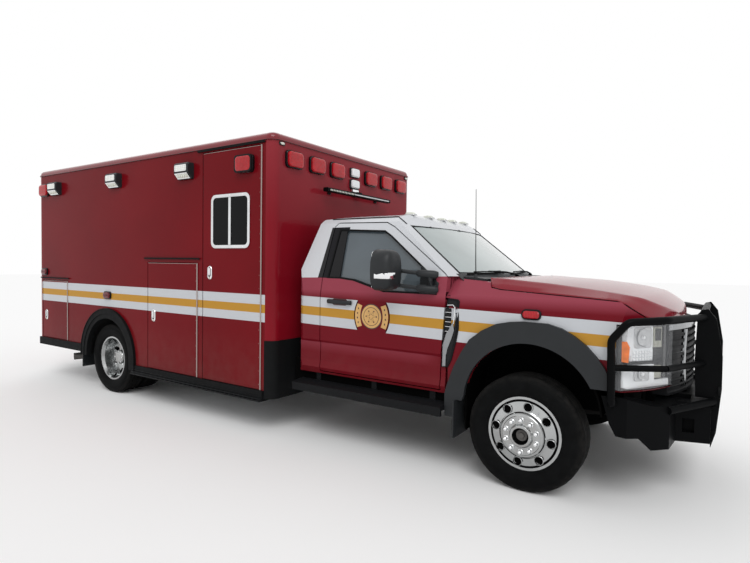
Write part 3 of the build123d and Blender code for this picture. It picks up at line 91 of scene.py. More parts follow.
class Finish:
    """One node material while it is being put together."""

    def __init__(self, name, colour, rough, metal=0.0, coat=0.0, **shader):
        self.name = name
        self.material = bpy.data.materials.new(name)
        self.material.use_nodes = True
        self.tree = self.material.node_tree
        self.shader = self.tree.nodes["Principled BSDF"]
        first = {"Base Color": (*colour, 1), "Roughness": rough, "Metallic": metal, "Coat Weight": coat,
                 "Coat Roughness": 0.03}
        for socket, value in {**first, **shader}.items():
            self.shader.inputs[socket.replace("_", " ")].default_value = value
        self.place = self.add("ShaderNodeTexCoord").outputs["Object"]
        split = self.add("ShaderNodeSeparateXYZ")
        self.link(self.place, split.inputs[0])
        self.x, self.y, self.z = split.outputs
        self.colour = None
        self.height = None

    def add(self, kind, **settings):
        node = self.tree.nodes.new(kind)
        for key, value in settings.items():
            setattr(node, key, value)
        return node

    def link(self, source, target):
        if isinstance(source, (int, float)):
            target.default_value = source
        elif isinstance(source, tuple):
            target.default_value = (*source, 1)[: len(target.default_value)]
        else:
            self.tree.links.new(source, target)

    def math(self, operation, a, b=0.0):
        node = self.add("ShaderNodeMath", operation=operation)
        for value, socket in zip((a, b, 0.0), node.inputs):
            self.link(value, socket)
        return node.outputs[0]

    def times(self, a, b):
        return self.math("MULTIPLY", a, b)

    def plus(self, a, b):
        return self.math("ADD", a, b)

    def minus(self, a, b):
        return self.math("SUBTRACT", a, b)

    def above(self, a, b):
        return self.math("GREATER_THAN", a, b)

    def below(self, a, b):
        return self.math("LESS_THAN", a, b)

    def wave(self, a):
        return self.math("SINE", a)

    def aside(self):
        """The distance from the middle plane, to either side."""
        return self.math("ABSOLUTE", self.y)

    def round_hub(self, axle_x):
        """Across and up from a wheel's hub, and the distance from it."""
        across = self.minus(self.x, ahead(axle_x))
        up = self.minus(self.z, HUB_Z / 1000)
        return across, up, self.math("SQRT", self.plus(self.times(across, across), self.times(up, up)))

    def step(self, value, edge, soft=SOFT_EDGE):
        """0 below the edge and 1 above it."""
        return self.slope(value, edge - soft, edge + soft, 0.0, 1.0)

    def between(self, value, low, high, soft=SOFT_EDGE):
        return self.minus(self.step(value, low, soft), self.step(value, high, soft))

    def slope(self, value, start, end, low, high):
        node = self.add("ShaderNodeMapRange")
        self.link(value, node.inputs["Value"])
        for socket, setting in zip(("From Min", "From Max", "To Min", "To Max"), (start, end, low, high)):
            node.inputs[socket].default_value = setting
        return node.outputs["Result"]

    def noise(self, scale, detail=2.0, stretch=(1, 1, 1)):
        spread = self.add("ShaderNodeMapping")
        self.link(self.place, spread.inputs["Vector"])
        spread.inputs["Scale"].default_value = stretch
        cloud = self.add("ShaderNodeTexNoise")
        self.link(spread.outputs[0], cloud.inputs["Vector"])
        cloud.inputs["Scale"].default_value = scale
        cloud.inputs["Detail"].default_value = detail
        return cloud.outputs["Fac"]

    def mix(self, factor, a, b, **settings):
        node = self.add("ShaderNodeMix", data_type="RGBA", **settings)
        for value, socket in ((factor, "Factor"), (a, 6), (b, 7)):
            self.link(value, node.inputs[socket])
        return node.outputs[2]

    def base(self):
        return self.colour or tuple(self.shader.inputs["Base Color"].default_value[:3])

    def paint(self, factor, colour):
        """Lays a colour over what is there, where the factor is 1."""
        self.colour = self.mix(factor, self.base(), colour)

    def vary(self, scale, amount):
        """Lightens and darkens the colour a little in soft clouds."""
        grey = self.slope(self.noise(scale, 3.0), 0.3, 0.7, 1 - amount, 1 + amount)
        combine = self.add("ShaderNodeCombineColor")
        for socket in combine.inputs:
            self.link(grey, socket)
        self.colour = self.mix(1, self.base(), combine.outputs[0], blend_type="MULTIPLY")

    def rough(self, scale, low, high):
        self.link(self.slope(self.noise(scale, 4), 0.3, 0.7, low, high), self.shader.inputs["Roughness"])

    def bump(self, height, distance, strength):
        node = self.add("ShaderNodeBump")
        node.inputs["Strength"].default_value = strength
        node.inputs["Distance"].default_value = distance
        self.link(height, node.inputs["Height"])
        if self.height:
            self.link(self.height, node.inputs["Normal"])
        self.height = node.outputs[0]

    def done(self):
        if self.colour:
            self.link(self.colour, self.shader.inputs["Base Color"])
        if self.height:
            self.link(self.height, self.shader.inputs["Normal"])
        FINISH[self.name] = self.material


CRIMSON = (0.148, 0.0034, 0.0070)
CAB_CRIMSON = (0.150, 0.0045, 0.0110)
STRIPE_WHITE = (0.540, 0.558, 0.585)
STRIPE_GOLD = (0.484, 0.251, 0.037)
CAB_WHITE = (0.594, 0.612, 0.639)
BLACK = (0.012, 0.012, 0.013)
HINGE_METAL = (0.36, 0.30, 0.28)
LINING = (0.50, 0.51, 0.52)
HINGE_FACE = 1.2158
DOOR_FACE = 1.2126
LINING_FACE = 1.184


def orange_peel(finish):
    """The last touch on paint: its fine, soft waviness."""
    finish.bump(finish.noise(260, 1), 0.00010, 0.25)
    finish.done()


def road_dust(finish):
    """A thin film of dust that thins out upwards from the sills."""
    film = finish.slope(finish.z, 0.25, 0.9, 0.2, 0.0)
    broken = finish.times(film, finish.slope(finish.noise(9, 5), 0.3, 0.7, 0.2, 1.0))
    finish.paint(broken, (0.16, 0.13, 0.11))


def striped(name, body_colour, foot, slope_start, slope, x_low, x_high, coat=0.06):
    """Glossy crimson with the white, gold and white band; the band may fall gently forwards."""
    finish = Finish(name, body_colour, 0.24, coat=coat, Specular_IOR_Level=0.05)
    along = finish.minus(finish.x, ahead(slope_start))
    level = finish.minus(finish.plus(finish.z, finish.times(along, slope)), foot / 1000)
    inside = finish.between(finish.x, ahead(x_low), ahead(x_high))
    finish.vary(1.1, 0.10)
    road_dust(finish)
    for low, high, colour in ((0, 83, STRIPE_WHITE), (83, 160, STRIPE_GOLD), (160, 249, STRIPE_WHITE)):
        finish.paint(finish.times(finish.between(level, low / 1000, high / 1000), inside), colour)
    return finish


def lined(finish, half, x_low, x_high, z_top, colour=LINING):
    """The faces of a panel that look indoors take a plain lining colour in place of paint."""
    indoors = finish.times(finish.below(finish.aside(), half), finish.between(finish.x, ahead(x_low), ahead(x_high)))
    finish.paint(finish.times(indoors, finish.below(finish.z, z_top)), colour)


def module_side(name):
    """The module's striped paint with bright hinge barrels standing proud of it."""
    finish = striped(name, CRIMSON, 1022, 0, 0.0, MODULE_REAR + 40, -2319)
    finish.paint(finish.step(finish.aside(), HINGE_FACE, SHARP_EDGE), HINGE_METAL)
    return finish


def module_paint():
    finish = module_side("module_paint")
    lined(finish, LINING_FACE, MODULE_REAR + 70, -2310, 2.30)
    orange_peel(finish)


def roof_paint():
    """Crimson with a dark seam under its drip edge."""
    finish = Finish("roof_paint", (0.190, 0.012, 0.020), 0.24, coat=0.5, Specular_IOR_Level=0.2)
    finish.vary(1.1, 0.10)
    finish.paint(finish.between(finish.z, 2.6640, 2.6690), (0.016, 0.002, 0.003))
    orange_peel(finish)


def module_door_paint():
    """The wall's paint, with a black seat under the lamp over the entry."""
    finish = module_side("module_door_paint")
    seat = finish.times(finish.between(finish.x, ahead(-2712), ahead(-2460)), finish.step(finish.z, 2.37))
    finish.paint(finish.times(seat, finish.step(finish.aside(), DOOR_FACE, SHARP_EDGE)), BLACK)
    lined(finish, LINING_FACE, MODULE_REAR + 70, -2310, 2.60)
    orange_peel(finish)


def module_end_paint():
    finish = Finish("module_end_paint", (0.200, 0.0048, 0.0120), 0.24, coat=0.16, Specular_IOR_Level=0.05)
    # Painted sky sheen: the walls grow lighter and pinker towards their top.
    finish.paint(finish.slope(finish.z, 1.9, 2.6, 0.0, 0.6), (0.27, 0.034, 0.044))
    finish.vary(1.1, 0.10)
    road_dust(finish)
    lined(finish, LINING_FACE, MODULE_REAR + 28, -2275, 2.62)
    orange_peel(finish)


def liner_grey():
    """Pale compartment lining, black inside the rear wheel housings."""
    finish = Finish("liner_grey", (0.42, 0.43, 0.44), 0.5)
    housing = finish.between(finish.minus(finish.x, ahead(-WHEELBASE)), -0.522, 0.522)
    low = finish.below(finish.z, 0.455 + 0.522)
    finish.vary(4, 0.08)
    finish.paint(finish.times(housing, low), (0.0040, 0.0040, 0.0040))
    finish.done()


def pillar_mask(finish):
    """1 on the black band behind the side glass, 0 elsewhere."""
    lean = finish.minus(finish.x, finish.times(finish.minus(finish.z, BELT_Z), 0.105))
    along = finish.minus(finish.step(lean, ahead(-1887)), finish.step(finish.x, ahead(-1640)))
    tall = finish.times(along, finish.between(finish.z, BELT_Z, 1.888))
    return finish.times(tall, finish.step(finish.aside(), 0.80))


def white_above(finish):
    """The white upper half of the cab, whose lower edge rises gently forwards."""
    along = finish.minus(finish.x, ahead(-1950))
    level = finish.minus(finish.z, finish.times(along, 0.0313))
    finish.paint(finish.step(level, BELT_Z), CAB_WHITE)
    finish.paint(pillar_mask(finish), (0.010, 0.010, 0.012))


def cab_paint():
    """Crimson with the falling band below the belt line, white above it; the band stops round the door's badge. Painted
    highlights lie under the lower crease and on the shoulder below the belt.
    """
    finish = striped("cab_paint", CAB_CRIMSON, 1020, -2032, 0.0195, -2200, 700, coat=0.12)
    up = finish.math("DIVIDE", finish.minus(finish.z, 1.130), 0.125)
    bow = finish.math("MAXIMUM", finish.minus(1.0, finish.times(up, up)), 0.0)
    edge = finish.plus(finish.times(bow, 0.036), 0.143)
    away = finish.math("ABSOLUTE", finish.minus(finish.x, ahead(-1299)))
    near = finish.times(finish.below(away, edge), finish.between(finish.z, 0.96, 1.30))
    rim = finish.times(near, finish.above(away, finish.minus(edge, 0.012)))
    finish.paint(near, CAB_CRIMSON)
    # Painted highlight: a lighter, pinker band under the door's lower crease, fading out towards the front.
    painted_crease_highlight = finish.times(finish.slope(finish.z, 0.775, 0.858, 0.0, 0.75), finish.below(finish.z, 0.866))
    finish.paint(finish.times(painted_crease_highlight, finish.slope(finish.x, 2.05, 2.20, 1.0, 0.0)), (0.235, 0.034, 0.050))
    # Painted sky sheen: the shoulder below the belt grows lighter and pinker upwards.
    finish.paint(finish.slope(finish.z, 1.255, 1.33, 0.0, 1.0), (0.285, 0.050, 0.074))
    finish.paint(finish.times(rim, finish.between(finish.z, 1.010, 1.252)), (0.030, 0.002, 0.004))
    white_above(finish)
    lined(finish, 0.975, -1936, 584, 1.335, (0.020, 0.021, 0.023))
    orange_peel(finish)


def cab_roof_paint():
    finish = Finish("cab_roof_paint", CAB_CRIMSON, 0.26, coat=0.3, Specular_IOR_Level=0.1)
    white_above(finish)
    finish.vary(2.0, 0.03)
    orange_peel(finish)


def screen_glass():
    """Painted sky reflection in the windscreen: greener and darker low on the right, lighter towards the top and the
    left.
    """
    finish = Finish("screen_glass", (0.42, 0.48, 0.47), 0.06, coat=0.6, Alpha=0.90)
    drift = finish.plus(finish.times(finish.y, 0.55), finish.times(finish.z, -0.35))
    shade = finish.slope(drift, -1.15, 0.0, 0.0, 1.0)
    finish.colour = finish.mix(shade, (0.32, 0.38, 0.38), (0.60, 0.66, 0.65))
    finish.vary(1.6, 0.12)
    finish.done()


def side_glass():
    finish = Finish("side_glass", (0.080, 0.102, 0.120), 0.06, coat=0.35, Alpha=0.93)
    # Painted reflection: the glass is lighter towards its foot.
    finish.paint(finish.slope(finish.z, 1.35, 1.85, 0.55, 0.0), (0.115, 0.135, 0.145))
    finish.vary(2.5, 0.10)
    finish.done()


def hood_paint():
    finish = Finish("hood_paint", (0.21, 0.012, 0.022), 0.22, coat=0.42, Specular_IOR_Level=0.1)
    finish.vary(1.3, 0.08)
    orange_peel(finish)


def tyre_finish(name, axle_x):
    """Black rubber, dustier on the tread, with fine rings on the sidewall and sipes across the tread."""
    finish = Finish(name, (0.0042, 0.0044, 0.0046), 0.62, Specular_IOR_Level=0.05)
    across, up, radius = finish.round_hub(axle_x)
    angle = finish.math("ARCTAN2", up, across)
    finish.vary(14, 0.25)
    patches = finish.slope(finish.noise(30, 4), 0.35, 0.65, 0.1, 0.7)
    finish.paint(finish.times(finish.step(radius, 0.375, 0.02), patches), (0.016, 0.015, 0.014))
    rings = finish.wave(finish.times(radius, 900.0))
    finish.bump(finish.times(rings, finish.between(radius, 0.30, 0.372, 0.006)), 0.0006, 0.35)
    sipes = finish.math("PINGPONG", finish.times(angle, 24.0), 0.5)
    cut = finish.times(finish.below(sipes, 0.035), finish.step(radius, 0.392, 0.002))
    finish.bump(finish.times(cut, -1.0), 0.004, 0.8)
    finish.bump(finish.noise(420, 2), 0.0003, 0.4)
    finish.done()


def wheel_finish(name, axle_x):
    """Bright forged metal with faint turning marks round the hub and brake dust in the well."""
    finish = Finish(name, (0.44, 0.45, 0.45), 0.13, metal=1.0)
    radius = finish.round_hub(axle_x)[2]
    finish.vary(9, 0.06)
    dust = finish.slope(finish.noise(16, 4), 0.35, 0.75, 0.0, 0.35)
    finish.paint(finish.times(dust, finish.minus(1.0, finish.step(radius, 0.14, 0.06))), (0.20, 0.17, 0.14))
    finish.rough(12, 0.12, 0.26)
    finish.bump(finish.wave(finish.times(radius, 5200.0)), 0.00004, 0.25)
    finish.done()


def tread_plate():
    """Rolled aluminium floor plate with its crossed raised lozenges."""
    finish = Finish("tread_plate", (0.62, 0.63, 0.64), 0.34, metal=1.0)
    bars = []
    for turn in (1, -1):
        a = finish.plus(finish.times(finish.x, 170.0), finish.times(finish.y, 170.0 * turn))
        b = finish.minus(finish.times(finish.x, 62.0), finish.times(finish.y, 62.0 * turn))
        bars.append(finish.times(finish.above(finish.wave(a), 0.55), finish.above(finish.wave(b), 0.1)))
    finish.vary(7, 0.12)
    finish.paint(finish.slope(finish.noise(5, 4), 0.45, 0.75, 0.0, 0.5), (0.13, 0.12, 0.11))
    finish.rough(10, 0.26, 0.48)
    finish.bump(finish.math("MAXIMUM", *bars), 0.0025, 0.7)
    finish.done()


def ribbed_red():
    finish = Finish("red_lens", (0.42, 0.004, 0.010), 0.12, coat=0.5, Specular_IOR_Level=0.2)
    finish.vary(20, 0.15)
    ribs = finish.math("PINGPONG", finish.times(finish.x, 90.0), 0.5)
    finish.paint(finish.times(finish.below(ribs, 0.12), 0.6), (0.10, 0.0, 0.004))
    finish.done()


def cloth():
    """Woven grey seat cloth."""
    finish = Finish("seat_cloth", (0.085, 0.085, 0.090), 0.92, Sheen_Weight=0.35)
    warp = finish.wave(finish.times(finish.y, 2600.0))
    weft = finish.wave(finish.times(finish.plus(finish.x, finish.z), 2600.0))
    finish.vary(30, 0.18)
    finish.bump(finish.times(warp, weft), 0.0006, 0.5)
    finish.done()


def plain(name, colour, rough, metal=0.0, coat=0.0, vary=0.06, scale=6.0, grain=None, spread=0.06, **shader):
    """A finish of one colour with its own slight clouding, gloss variation and grain."""
    finish = Finish(name, colour, rough, metal, coat, **shader)
    finish.vary(scale, vary)
    finish.rough(scale * 3, max(rough - spread, 0.02), rough + spread)
    if grain:
        size, distance, strength = grain
        finish.bump(finish.noise(size, 3), distance, strength)
    finish.done()


def clear(name, colour, alpha, **shader):
    finish = Finish(name, colour, 0.04, Alpha=alpha, **shader)
    finish.vary(3, 0.05)
    finish.done()


module_paint()
module_door_paint()
roof_paint()
module_end_paint()
cab_paint()
hood_paint()
cab_roof_paint()
screen_glass()
side_glass()
plain("emblem_gold", (0.66, 0.38, 0.12), 0.40, coat=0.3, scale=30)
plain("emblem_dark", (0.045, 0.004, 0.006), 0.40, coat=0.3)
plain("lamp_beige", (0.36, 0.36, 0.29), 0.30, coat=0.4, vary=0.10)
plain("lamp_grey", (0.52, 0.53, 0.54), 0.16, metal=0.4, coat=0.6, vary=0.14, scale=24)
plain("black_plastic", (0.016, 0.018, 0.020), 0.46, grain=(600, 0.0003, 0.5), Specular_IOR_Level=0.28)
plain("black_gloss", (0.005, 0.005, 0.006), 0.14, coat=0.25, Specular_IOR_Level=0.1)
plain("trim_black", (0.0085, 0.0090, 0.0100), 0.5, grain=(500, 0.0003, 0.4), Specular_IOR_Level=0.10)
plain("dark_chrome", (0.30, 0.31, 0.32), 0.16, metal=1.0, vary=0.10)
plain("dull_metal", (0.36, 0.30, 0.28), 0.40, metal=0.5, vary=0.10)
plain("dark_red_lens", (0.115, 0.004, 0.008), 0.14, coat=0.5, vary=0.10, scale=60, Specular_IOR_Level=0.2)
plain("arch_black", (0.0035, 0.0035, 0.0035), 0.9, Specular_IOR_Level=0.0)
plain("black_satin", (0.0032, 0.0034, 0.0038), 0.42, grain=(900, 0.0001, 0.3), Specular_IOR_Level=0.04)
plain("rubber", (0.0052, 0.0056, 0.0060), 0.66, grain=(300, 0.0003, 0.4), Specular_IOR_Level=0.10)
plain("chassis_black", (0.012, 0.0115, 0.011), 0.62, vary=0.25, grain=(120, 0.0006, 0.5), Specular_IOR_Level=0.15)
plain("cast_metal", (0.10, 0.095, 0.09), 0.58, metal=0.6, vary=0.25, grain=(160, 0.0009, 0.6))
plain("bright_metal", (0.72, 0.73, 0.74), 0.24, metal=1.0, vary=0.08, spread=0.1)
plain("chrome", (0.86, 0.87, 0.88), 0.07, metal=1.0, vary=0.03, spread=0.03)
plain("brass", (0.60, 0.47, 0.28), 0.26, metal=1.0, vary=0.1)
tread_plate()
tyre_finish("tyre_front", 0)
tyre_finish("tyre_rear", -WHEELBASE)
wheel_finish("wheel_front", 0)
wheel_finish("wheel_rear", -WHEELBASE)
clear("dark_glass", (0.0050, 0.0055, 0.0060), 0.97, coat=0.10, Specular_IOR_Level=0.05)
clear("clear_lens", (0.85, 0.87, 0.90), 0.16)
plain("amber_lens", (0.80, 0.17, 0.010), 0.14, coat=1.0, vary=0.15, scale=30)
ribbed_red()
plain("lamp_white", (0.84, 0.86, 0.88), 0.22, coat=0.5, vary=0.05)
plain("led_lens", (0.66, 0.68, 0.60), 0.12, coat=1.0, vary=0.12, scale=60)
cloth()
plain("cabin_plastic", (0.060, 0.060, 0.064), 0.62, grain=(700, 0.0003, 0.5))
liner_grey()
plain("cabinet_white", (0.55, 0.55, 0.53), 0.45, vary=0.05)

# The finish that each CAD node takes
DRESS = {
    "module_paint": "module_wall_right module_wall_left",
    "roof_paint": "module_roof",
    "module_door_paint": "entry_door side_door_middle_right side_door_rear_right side_door_front_left "
                         "side_door_middle_left side_door_rear_left",
    "module_end_paint": "module_wall_front module_wall_rear rear_door_left rear_door_right",
    "cab_paint": "cab_body cab_door_left cab_door_right fenders",
    "hood_paint": "hood",
    "cab_roof_paint": "cab_roof",
    "black_plastic": "flares_and_flaps cowl mirror_left mirror_right",
    "trim_black": "grille step_boards",
    "black_satin": "brush_guard front_bumper",
    "chassis_black": "ladder_frame leaf_springs front_axle rear_axle knuckle_left knuckle_right",
    "cast_metal": "drivetrain tank_and_exhaust",
    "screen_glass": "cab_glass",
    "side_glass": "cab_window_left cab_window_right",
    "dark_glass": "entry_window rear_window_left rear_window_right",
    "tread_plate": "rear_step module_floor",
    "rubber": "rub_rails",
    "liner_grey": "compartment_liners",
    "cabinet_white": "cabinets",
    "cabin_plastic": "dashboard",
    "seat_cloth": "seats",
    "tyre_front": "front_tyre_left front_tyre_right",
    "tyre_rear": "rear_tyres_left rear_tyres_right",
    "wheel_front": "front_rim_left front_rim_right",
    "wheel_rear": "rear_rims_left rear_rims_right",
    "black_gloss": "headlamps light_bar",
    "red_lens": "warning_lamps",
    "lamp_white": "flood_lamps",
}
for finish_name, nodes in DRESS.items():
    for node in nodes.split():
        cad[node].data.materials.clear()
        cad[node].data.materials.append(FINISH[finish_name])


# Mesh making


class Shape:
    """A mesh that grows from simple solids, each in its own finish or in the shape's first one."""

    def __init__(self, finish):
        self.bm = bmesh.new()
        self.finishes = [finish]
        self.turned_in = []

    def take(self, faces, finish=None, smooth=True):
        """Gives faces the finish of this name, or the shape's first one."""
        name = finish or self.finishes[0]
        if name not in self.finishes:
            self.finishes.append(name)
        for face in faces:
            face.material_index = self.finishes.index(name)
            face.smooth = smooth

    def settle(self, faces, finish=None, smooth=True):
        """Gives a new form its finish and turns its faces outwards."""
        self.take(faces, finish, smooth)
        bmesh.ops.recalc_face_normals(self.bm, faces=faces)

    def row(self, spots):
        return [self.bm.verts.new(point(*spot)) for spot in spots]

    def skin(self, rows, closed=True):
        """Faces between neighbouring rows of corners; a closed row joins its last corner to its first."""
        faces = []
        for first, second in zip(rows, rows[1:]):
            for k in range(len(first) if closed else len(first) - 1):
                j = (k + 1) % len(first)
                faces.append(self.bm.faces.new((first[k], first[j], second[j], second[k])))
        return faces

    def eased(self, edges, width, finish):
        made = bmesh.ops.bevel(self.bm, geom=list(edges), offset=width, segments=2, affect="EDGES", profile=0.5)
        self.take(made["faces"], finish)

    def slab(self, x, y, z, ease=0.0, finish=None, edge=None):
        """A box between two X, two Y and two Z values, its edges eased, perhaps in a finish of their own."""
        middle = point(sum(x) / 2, sum(y) / 2, sum(z) / 2)
        size = [abs(pair[1] - pair[0]) / 1000 for pair in (x, y, z)]
        made = bmesh.ops.create_cube(self.bm, size=1, matrix=Matrix.Translation(middle) @ Matrix.Diagonal((*size, 1)))
        self.take({face for vert in made["verts"] for face in vert.link_faces}, finish)
        if ease:
            edges = {edge for vert in made["verts"] for edge in vert.link_edges}
            self.eased(edges, min(ease / 1000, min(size) * 0.45), edge or finish)

    def outline(self, corners, low, high, axis="y", ease=0.0, finish=None):
        """An outline drawn out between two planes. Corners are (x, z) along y, (x, y) along z or (y, z) along x."""
        def place(a, b, depth):
            return {"x": (depth, a, b), "y": (a, depth, b), "z": (a, b, depth)}[axis]

        near, far = (self.row([place(a, b, depth) for a, b in corners]) for depth in (low, high))
        faces = [self.bm.faces.new(near), self.bm.faces.new(far[::-1])] + self.skin([far, near])
        self.settle(faces, finish, smooth=False)
        if ease:
            self.eased({edge for face in faces[:2] for edge in face.edges}, ease / 1000, finish)

    def turn(self, centre, axis, profile, steps, finish=None, closed=False):
        """A profile of (along, radius) corners spun round an axis."""
        axis = Vector(axis).normalized()
        side = axis.orthogonal().normalized()
        other = axis.cross(side)
        base = point(*centre)
        rings = []
        for k in range(steps):
            angle = math.tau * k / steps
            out = side * math.cos(angle) + other * math.sin(angle)
            rings.append([self.bm.verts.new(base + axis * (a / 1000) + out * (max(r, 0.01) / 1000))
                          for a, r in profile])
        faces = self.skin(rings + rings[:1], closed)
        self.take(faces, finish)
        self.turned_in += faces

    def rod(self, path, radius, sides=10, finish=None, flat=1.0):
        """A round bar along a path of points, with closed ends; flat squeezes its section upwards."""
        path = [point(*spot) for spot in path]
        radii = [radius] * len(path) if isinstance(radius, (int, float)) else radius
        rings = []
        for i, (spot, spread) in enumerate(zip(path, radii)):
            along = (path[min(i + 1, len(path) - 1)] - path[max(i - 1, 0)]).normalized()
            side = along.cross(Vector((0, 0, 1)))
            if side.length < 0.05:
                side = along.cross(Vector((0, 1, 0)))
            side.normalize()
            up = side.cross(along).normalized() * flat
            angles = [math.tau * k / sides for k in range(sides)]
            rings.append([self.bm.verts.new(spot + (side * math.cos(a) + up * math.sin(a)) * spread / 1000)
                          for a in angles])
        faces = [self.bm.faces.new(rings[0][::-1]), self.bm.faces.new(rings[-1])] + self.skin(rings)
        self.settle(faces, finish)

    def loft(self, rings, finish=None, closed_ends=True, smooth=True):
        """A skin through rings of points, all of one count."""
        rows = [self.row(ring) for ring in rings]
        faces = self.skin(rows)
        if closed_ends:
            faces += [self.bm.faces.new(rows[0][::-1]), self.bm.faces.new(rows[-1])]
        self.settle(faces, finish, smooth)

    def band(self, place, outer, inner, low, high, finish=None):
        """A frame between two outlines on a curved face, with thickness."""
        rows = [self.row([place(a, b, depth) for a, b in line])
                for line, depth in ((outer, low), (inner, low), (inner, high), (outer, high))]
        self.settle(self.skin(rows + rows[:1]), finish, smooth=False)

    def pad(self, place, corners, layers, finish=None, smooth=False):
        """A raised pad with a given outline on a curved face; each layer is (height out, distance in)."""
        self.loft([[place(a, b, out) for a, b in (shrunk(corners, inset) if inset else corners)]
                   for out, inset in layers], finish, smooth=smooth)

    def repeat(self, places, size, kind="cube", finish=None, steps=12):
        """Copies one small form at many places by Geometry Nodes, with the instances made real."""
        mesh = repeated_form(places, size, kind, steps)
        known = set(self.bm.faces)
        self.bm.from_mesh(mesh)
        self.take([face for face in self.bm.faces if face not in known], finish, smooth=kind != "cube")
        bpy.data.meshes.remove(mesh)

    def mirror(self):
        """The same again on the left side."""
        copy = self.bm.copy()
        flip(copy)
        mesh = bpy.data.meshes.new("other_side")
        copy.to_mesh(mesh)
        self.bm.from_mesh(mesh)
        bpy.data.meshes.remove(mesh)
        copy.free()

    def done(self, name, body, slot, replaced=(), sharp=32):
        if self.turned_in:
            corners = dict.fromkeys(v for f in self.turned_in if f.is_valid for v in f.verts)
            bmesh.ops.remove_doubles(self.bm, verts=list(corners), dist=0.00002)
            bmesh.ops.recalc_face_normals(self.bm, faces=[f for f in self.turned_in if f.is_valid])
        for edge in self.bm.edges:
            if len(edge.link_faces) == 2 and edge.calc_face_angle(0) > math.radians(sharp):
                edge.smooth = False
        mesh = bpy.data.meshes.new(name)
        self.bm.to_mesh(mesh)
        self.bm.free()
        for finish in self.finishes:
            mesh.materials.append(FINISH[finish])
        joined(placed(name, mesh), body, slot, *replaced)


def flip(form):
    """Moves a whole form to the other side of the middle plane."""
    for vert in form.verts:
        vert.co.y = -vert.co.y
    bmesh.ops.reverse_faces(form, faces=form.faces)


def repeated_form(places, size, kind, steps):
    """Geometry Nodes: one form on every point, sized by a named input."""
    points = bpy.data.meshes.new("places")
    points.from_pydata([point(*spot) for spot in places], [], [])
    carrier = placed("places", points)
    tree = bpy.data.node_groups.new("repeat_form", "GeometryNodeTree")
    sockets = [tree.interface.new_socket(name, in_out=way, socket_type="NodeSocket" + sort) for name, way, sort in
               (("Geometry", "INPUT", "Geometry"), ("Size", "INPUT", "Vector"), ("Geometry", "OUTPUT", "Geometry"))]
    entry = tree.nodes.new("NodeGroupInput")
    leave = tree.nodes.new("NodeGroupOutput")
    if kind == "cube":
        form = tree.nodes.new("GeometryNodeMeshCube")
    else:
        form = tree.nodes.new("GeometryNodeMeshUVSphere")
        form.inputs["Segments"].default_value = steps
        form.inputs["Rings"].default_value = max(steps // 2, 4)
        form.inputs["Radius"].default_value = 0.5
    spread = tree.nodes.new("GeometryNodeInstanceOnPoints")
    real = tree.nodes.new("GeometryNodeRealizeInstances")
    coat = tree.nodes.new("GeometryNodeSetMaterial")
    coat.inputs["Material"].default_value = FINISH["black_plastic"]
    for source, output, target, entrance in (
            (entry, "Geometry", spread, "Points"), (form, "Mesh", spread, "Instance"), (entry, "Size", spread, "Scale"),
            (spread, "Instances", real, "Geometry"), (real, "Geometry", coat, "Geometry"),
            (coat, "Geometry", leave, "Geometry")):
        tree.links.new(source.outputs[output], target.inputs[entrance])
    modifier = carrier.modifiers.new("repeat", "NODES")
    modifier.node_group = tree
    modifier[sockets[1].identifier] = [value / 1000 for value in size]
    mesh = bpy.data.meshes.new_from_object(carrier.evaluated_get(bpy.context.evaluated_depsgraph_get()))
    mesh.materials.clear()
    carrier.modifiers.remove(modifier)
    bpy.data.objects.remove(carrier)
    bpy.data.node_groups.remove(tree)
    return mesh


def spaced(start, end, count):
    """Even steps from start to end."""
    return [start + (end - start) * k / (count - 1) for k in range(count)]


def arc(a, b, radius, start, end, count):
    """Points on a circle round (a, b), from one angle in degrees to another."""
    angles = [math.radians(angle) for angle in spaced(start, end, count)]
    return [(a + radius * math.cos(angle), b + radius * math.sin(angle)) for angle in angles]


def rounded(x, z, radius, steps=5):
    """Corners of a rounded rectangle between two x and two z values, in rising order."""
    (x0, x1), (z0, z1) = x, z
    corners = []
    for cx, cz, turn in ((x1 - radius, z1 - radius, 0), (x0 + radius, z1 - radius, 1),
                         (x0 + radius, z0 + radius, 2), (x1 - radius, z0 + radius, 3)):
        corners += arc(cx, cz, radius, 90 * turn, 90 * turn + 90, steps + 1)
    return corners


def plaque(across, up, wide, high, radius, steps=5):
    """Corners of a rounded rectangle round a middle point."""
    return rounded((across - wide / 2, across + wide / 2), (up - high / 2, up + high / 2), radius, steps)


def shrunk(corners, amount):
    """The same outline moved inwards by an amount."""
    turn = sum(a[0] * b[1] - b[0] * a[1] for a, b in zip(corners, corners[1:] + corners[:1]))
    sign = 1 if turn > 0 else -1
    moved = []
    for i, spot in enumerate(corners):
        normals = []
        for a, b in ((corners[i - 1], spot), (spot, corners[(i + 1) % len(corners)])):
            size = math.hypot(b[0] - a[0], b[1] - a[1])
            normals.append((-(b[1] - a[1]) / size * sign, (b[0] - a[0]) / size * sign))
        nx, nz = normals[0][0] + normals[1][0], normals[0][1] + normals[1][1]
        scale = amount / max((nx * nx + nz * nz) / 2, 0.3)
        moved.append((spot[0] + nx * scale, spot[1] + nz * scale))
    return moved


# The patient module's fittings


def on_wall(wall, across, up, out):
    """A spot on one of the module's outer walls: across it, above the ground and out from it."""
    if wall == "right":
        return (across, -MODULE_SIDE - out, up)
    if wall == "left":
        return (across, MODULE_SIDE + out, up)
    if wall == "front":
        return (MODULE_FRONT + out, across, up)
    return (MODULE_REAR - out, across, up)


def facing(wall):
    """The same for one wall, to draw pads and bands on."""
    return lambda across, up, out: on_wall(wall, across, up, out)


def wall_size(wall, across, up, out):
    return (across, out, up) if wall in ("right", "left") else (out, across, up)


def pillow(shape, wall, across, up, wide, high, steps, radius, finish=None):
    """A rounded block on a wall, drawn in step by step: rows of (out, shrink)."""
    shape.loft([[on_wall(wall, a, b, out) for a, b in plaque(across, up, wide - 2 * shrink, high - 2 * shrink,
                                                             max(radius - shrink * 0.5, 4))]
                for out, shrink in steps], finish)


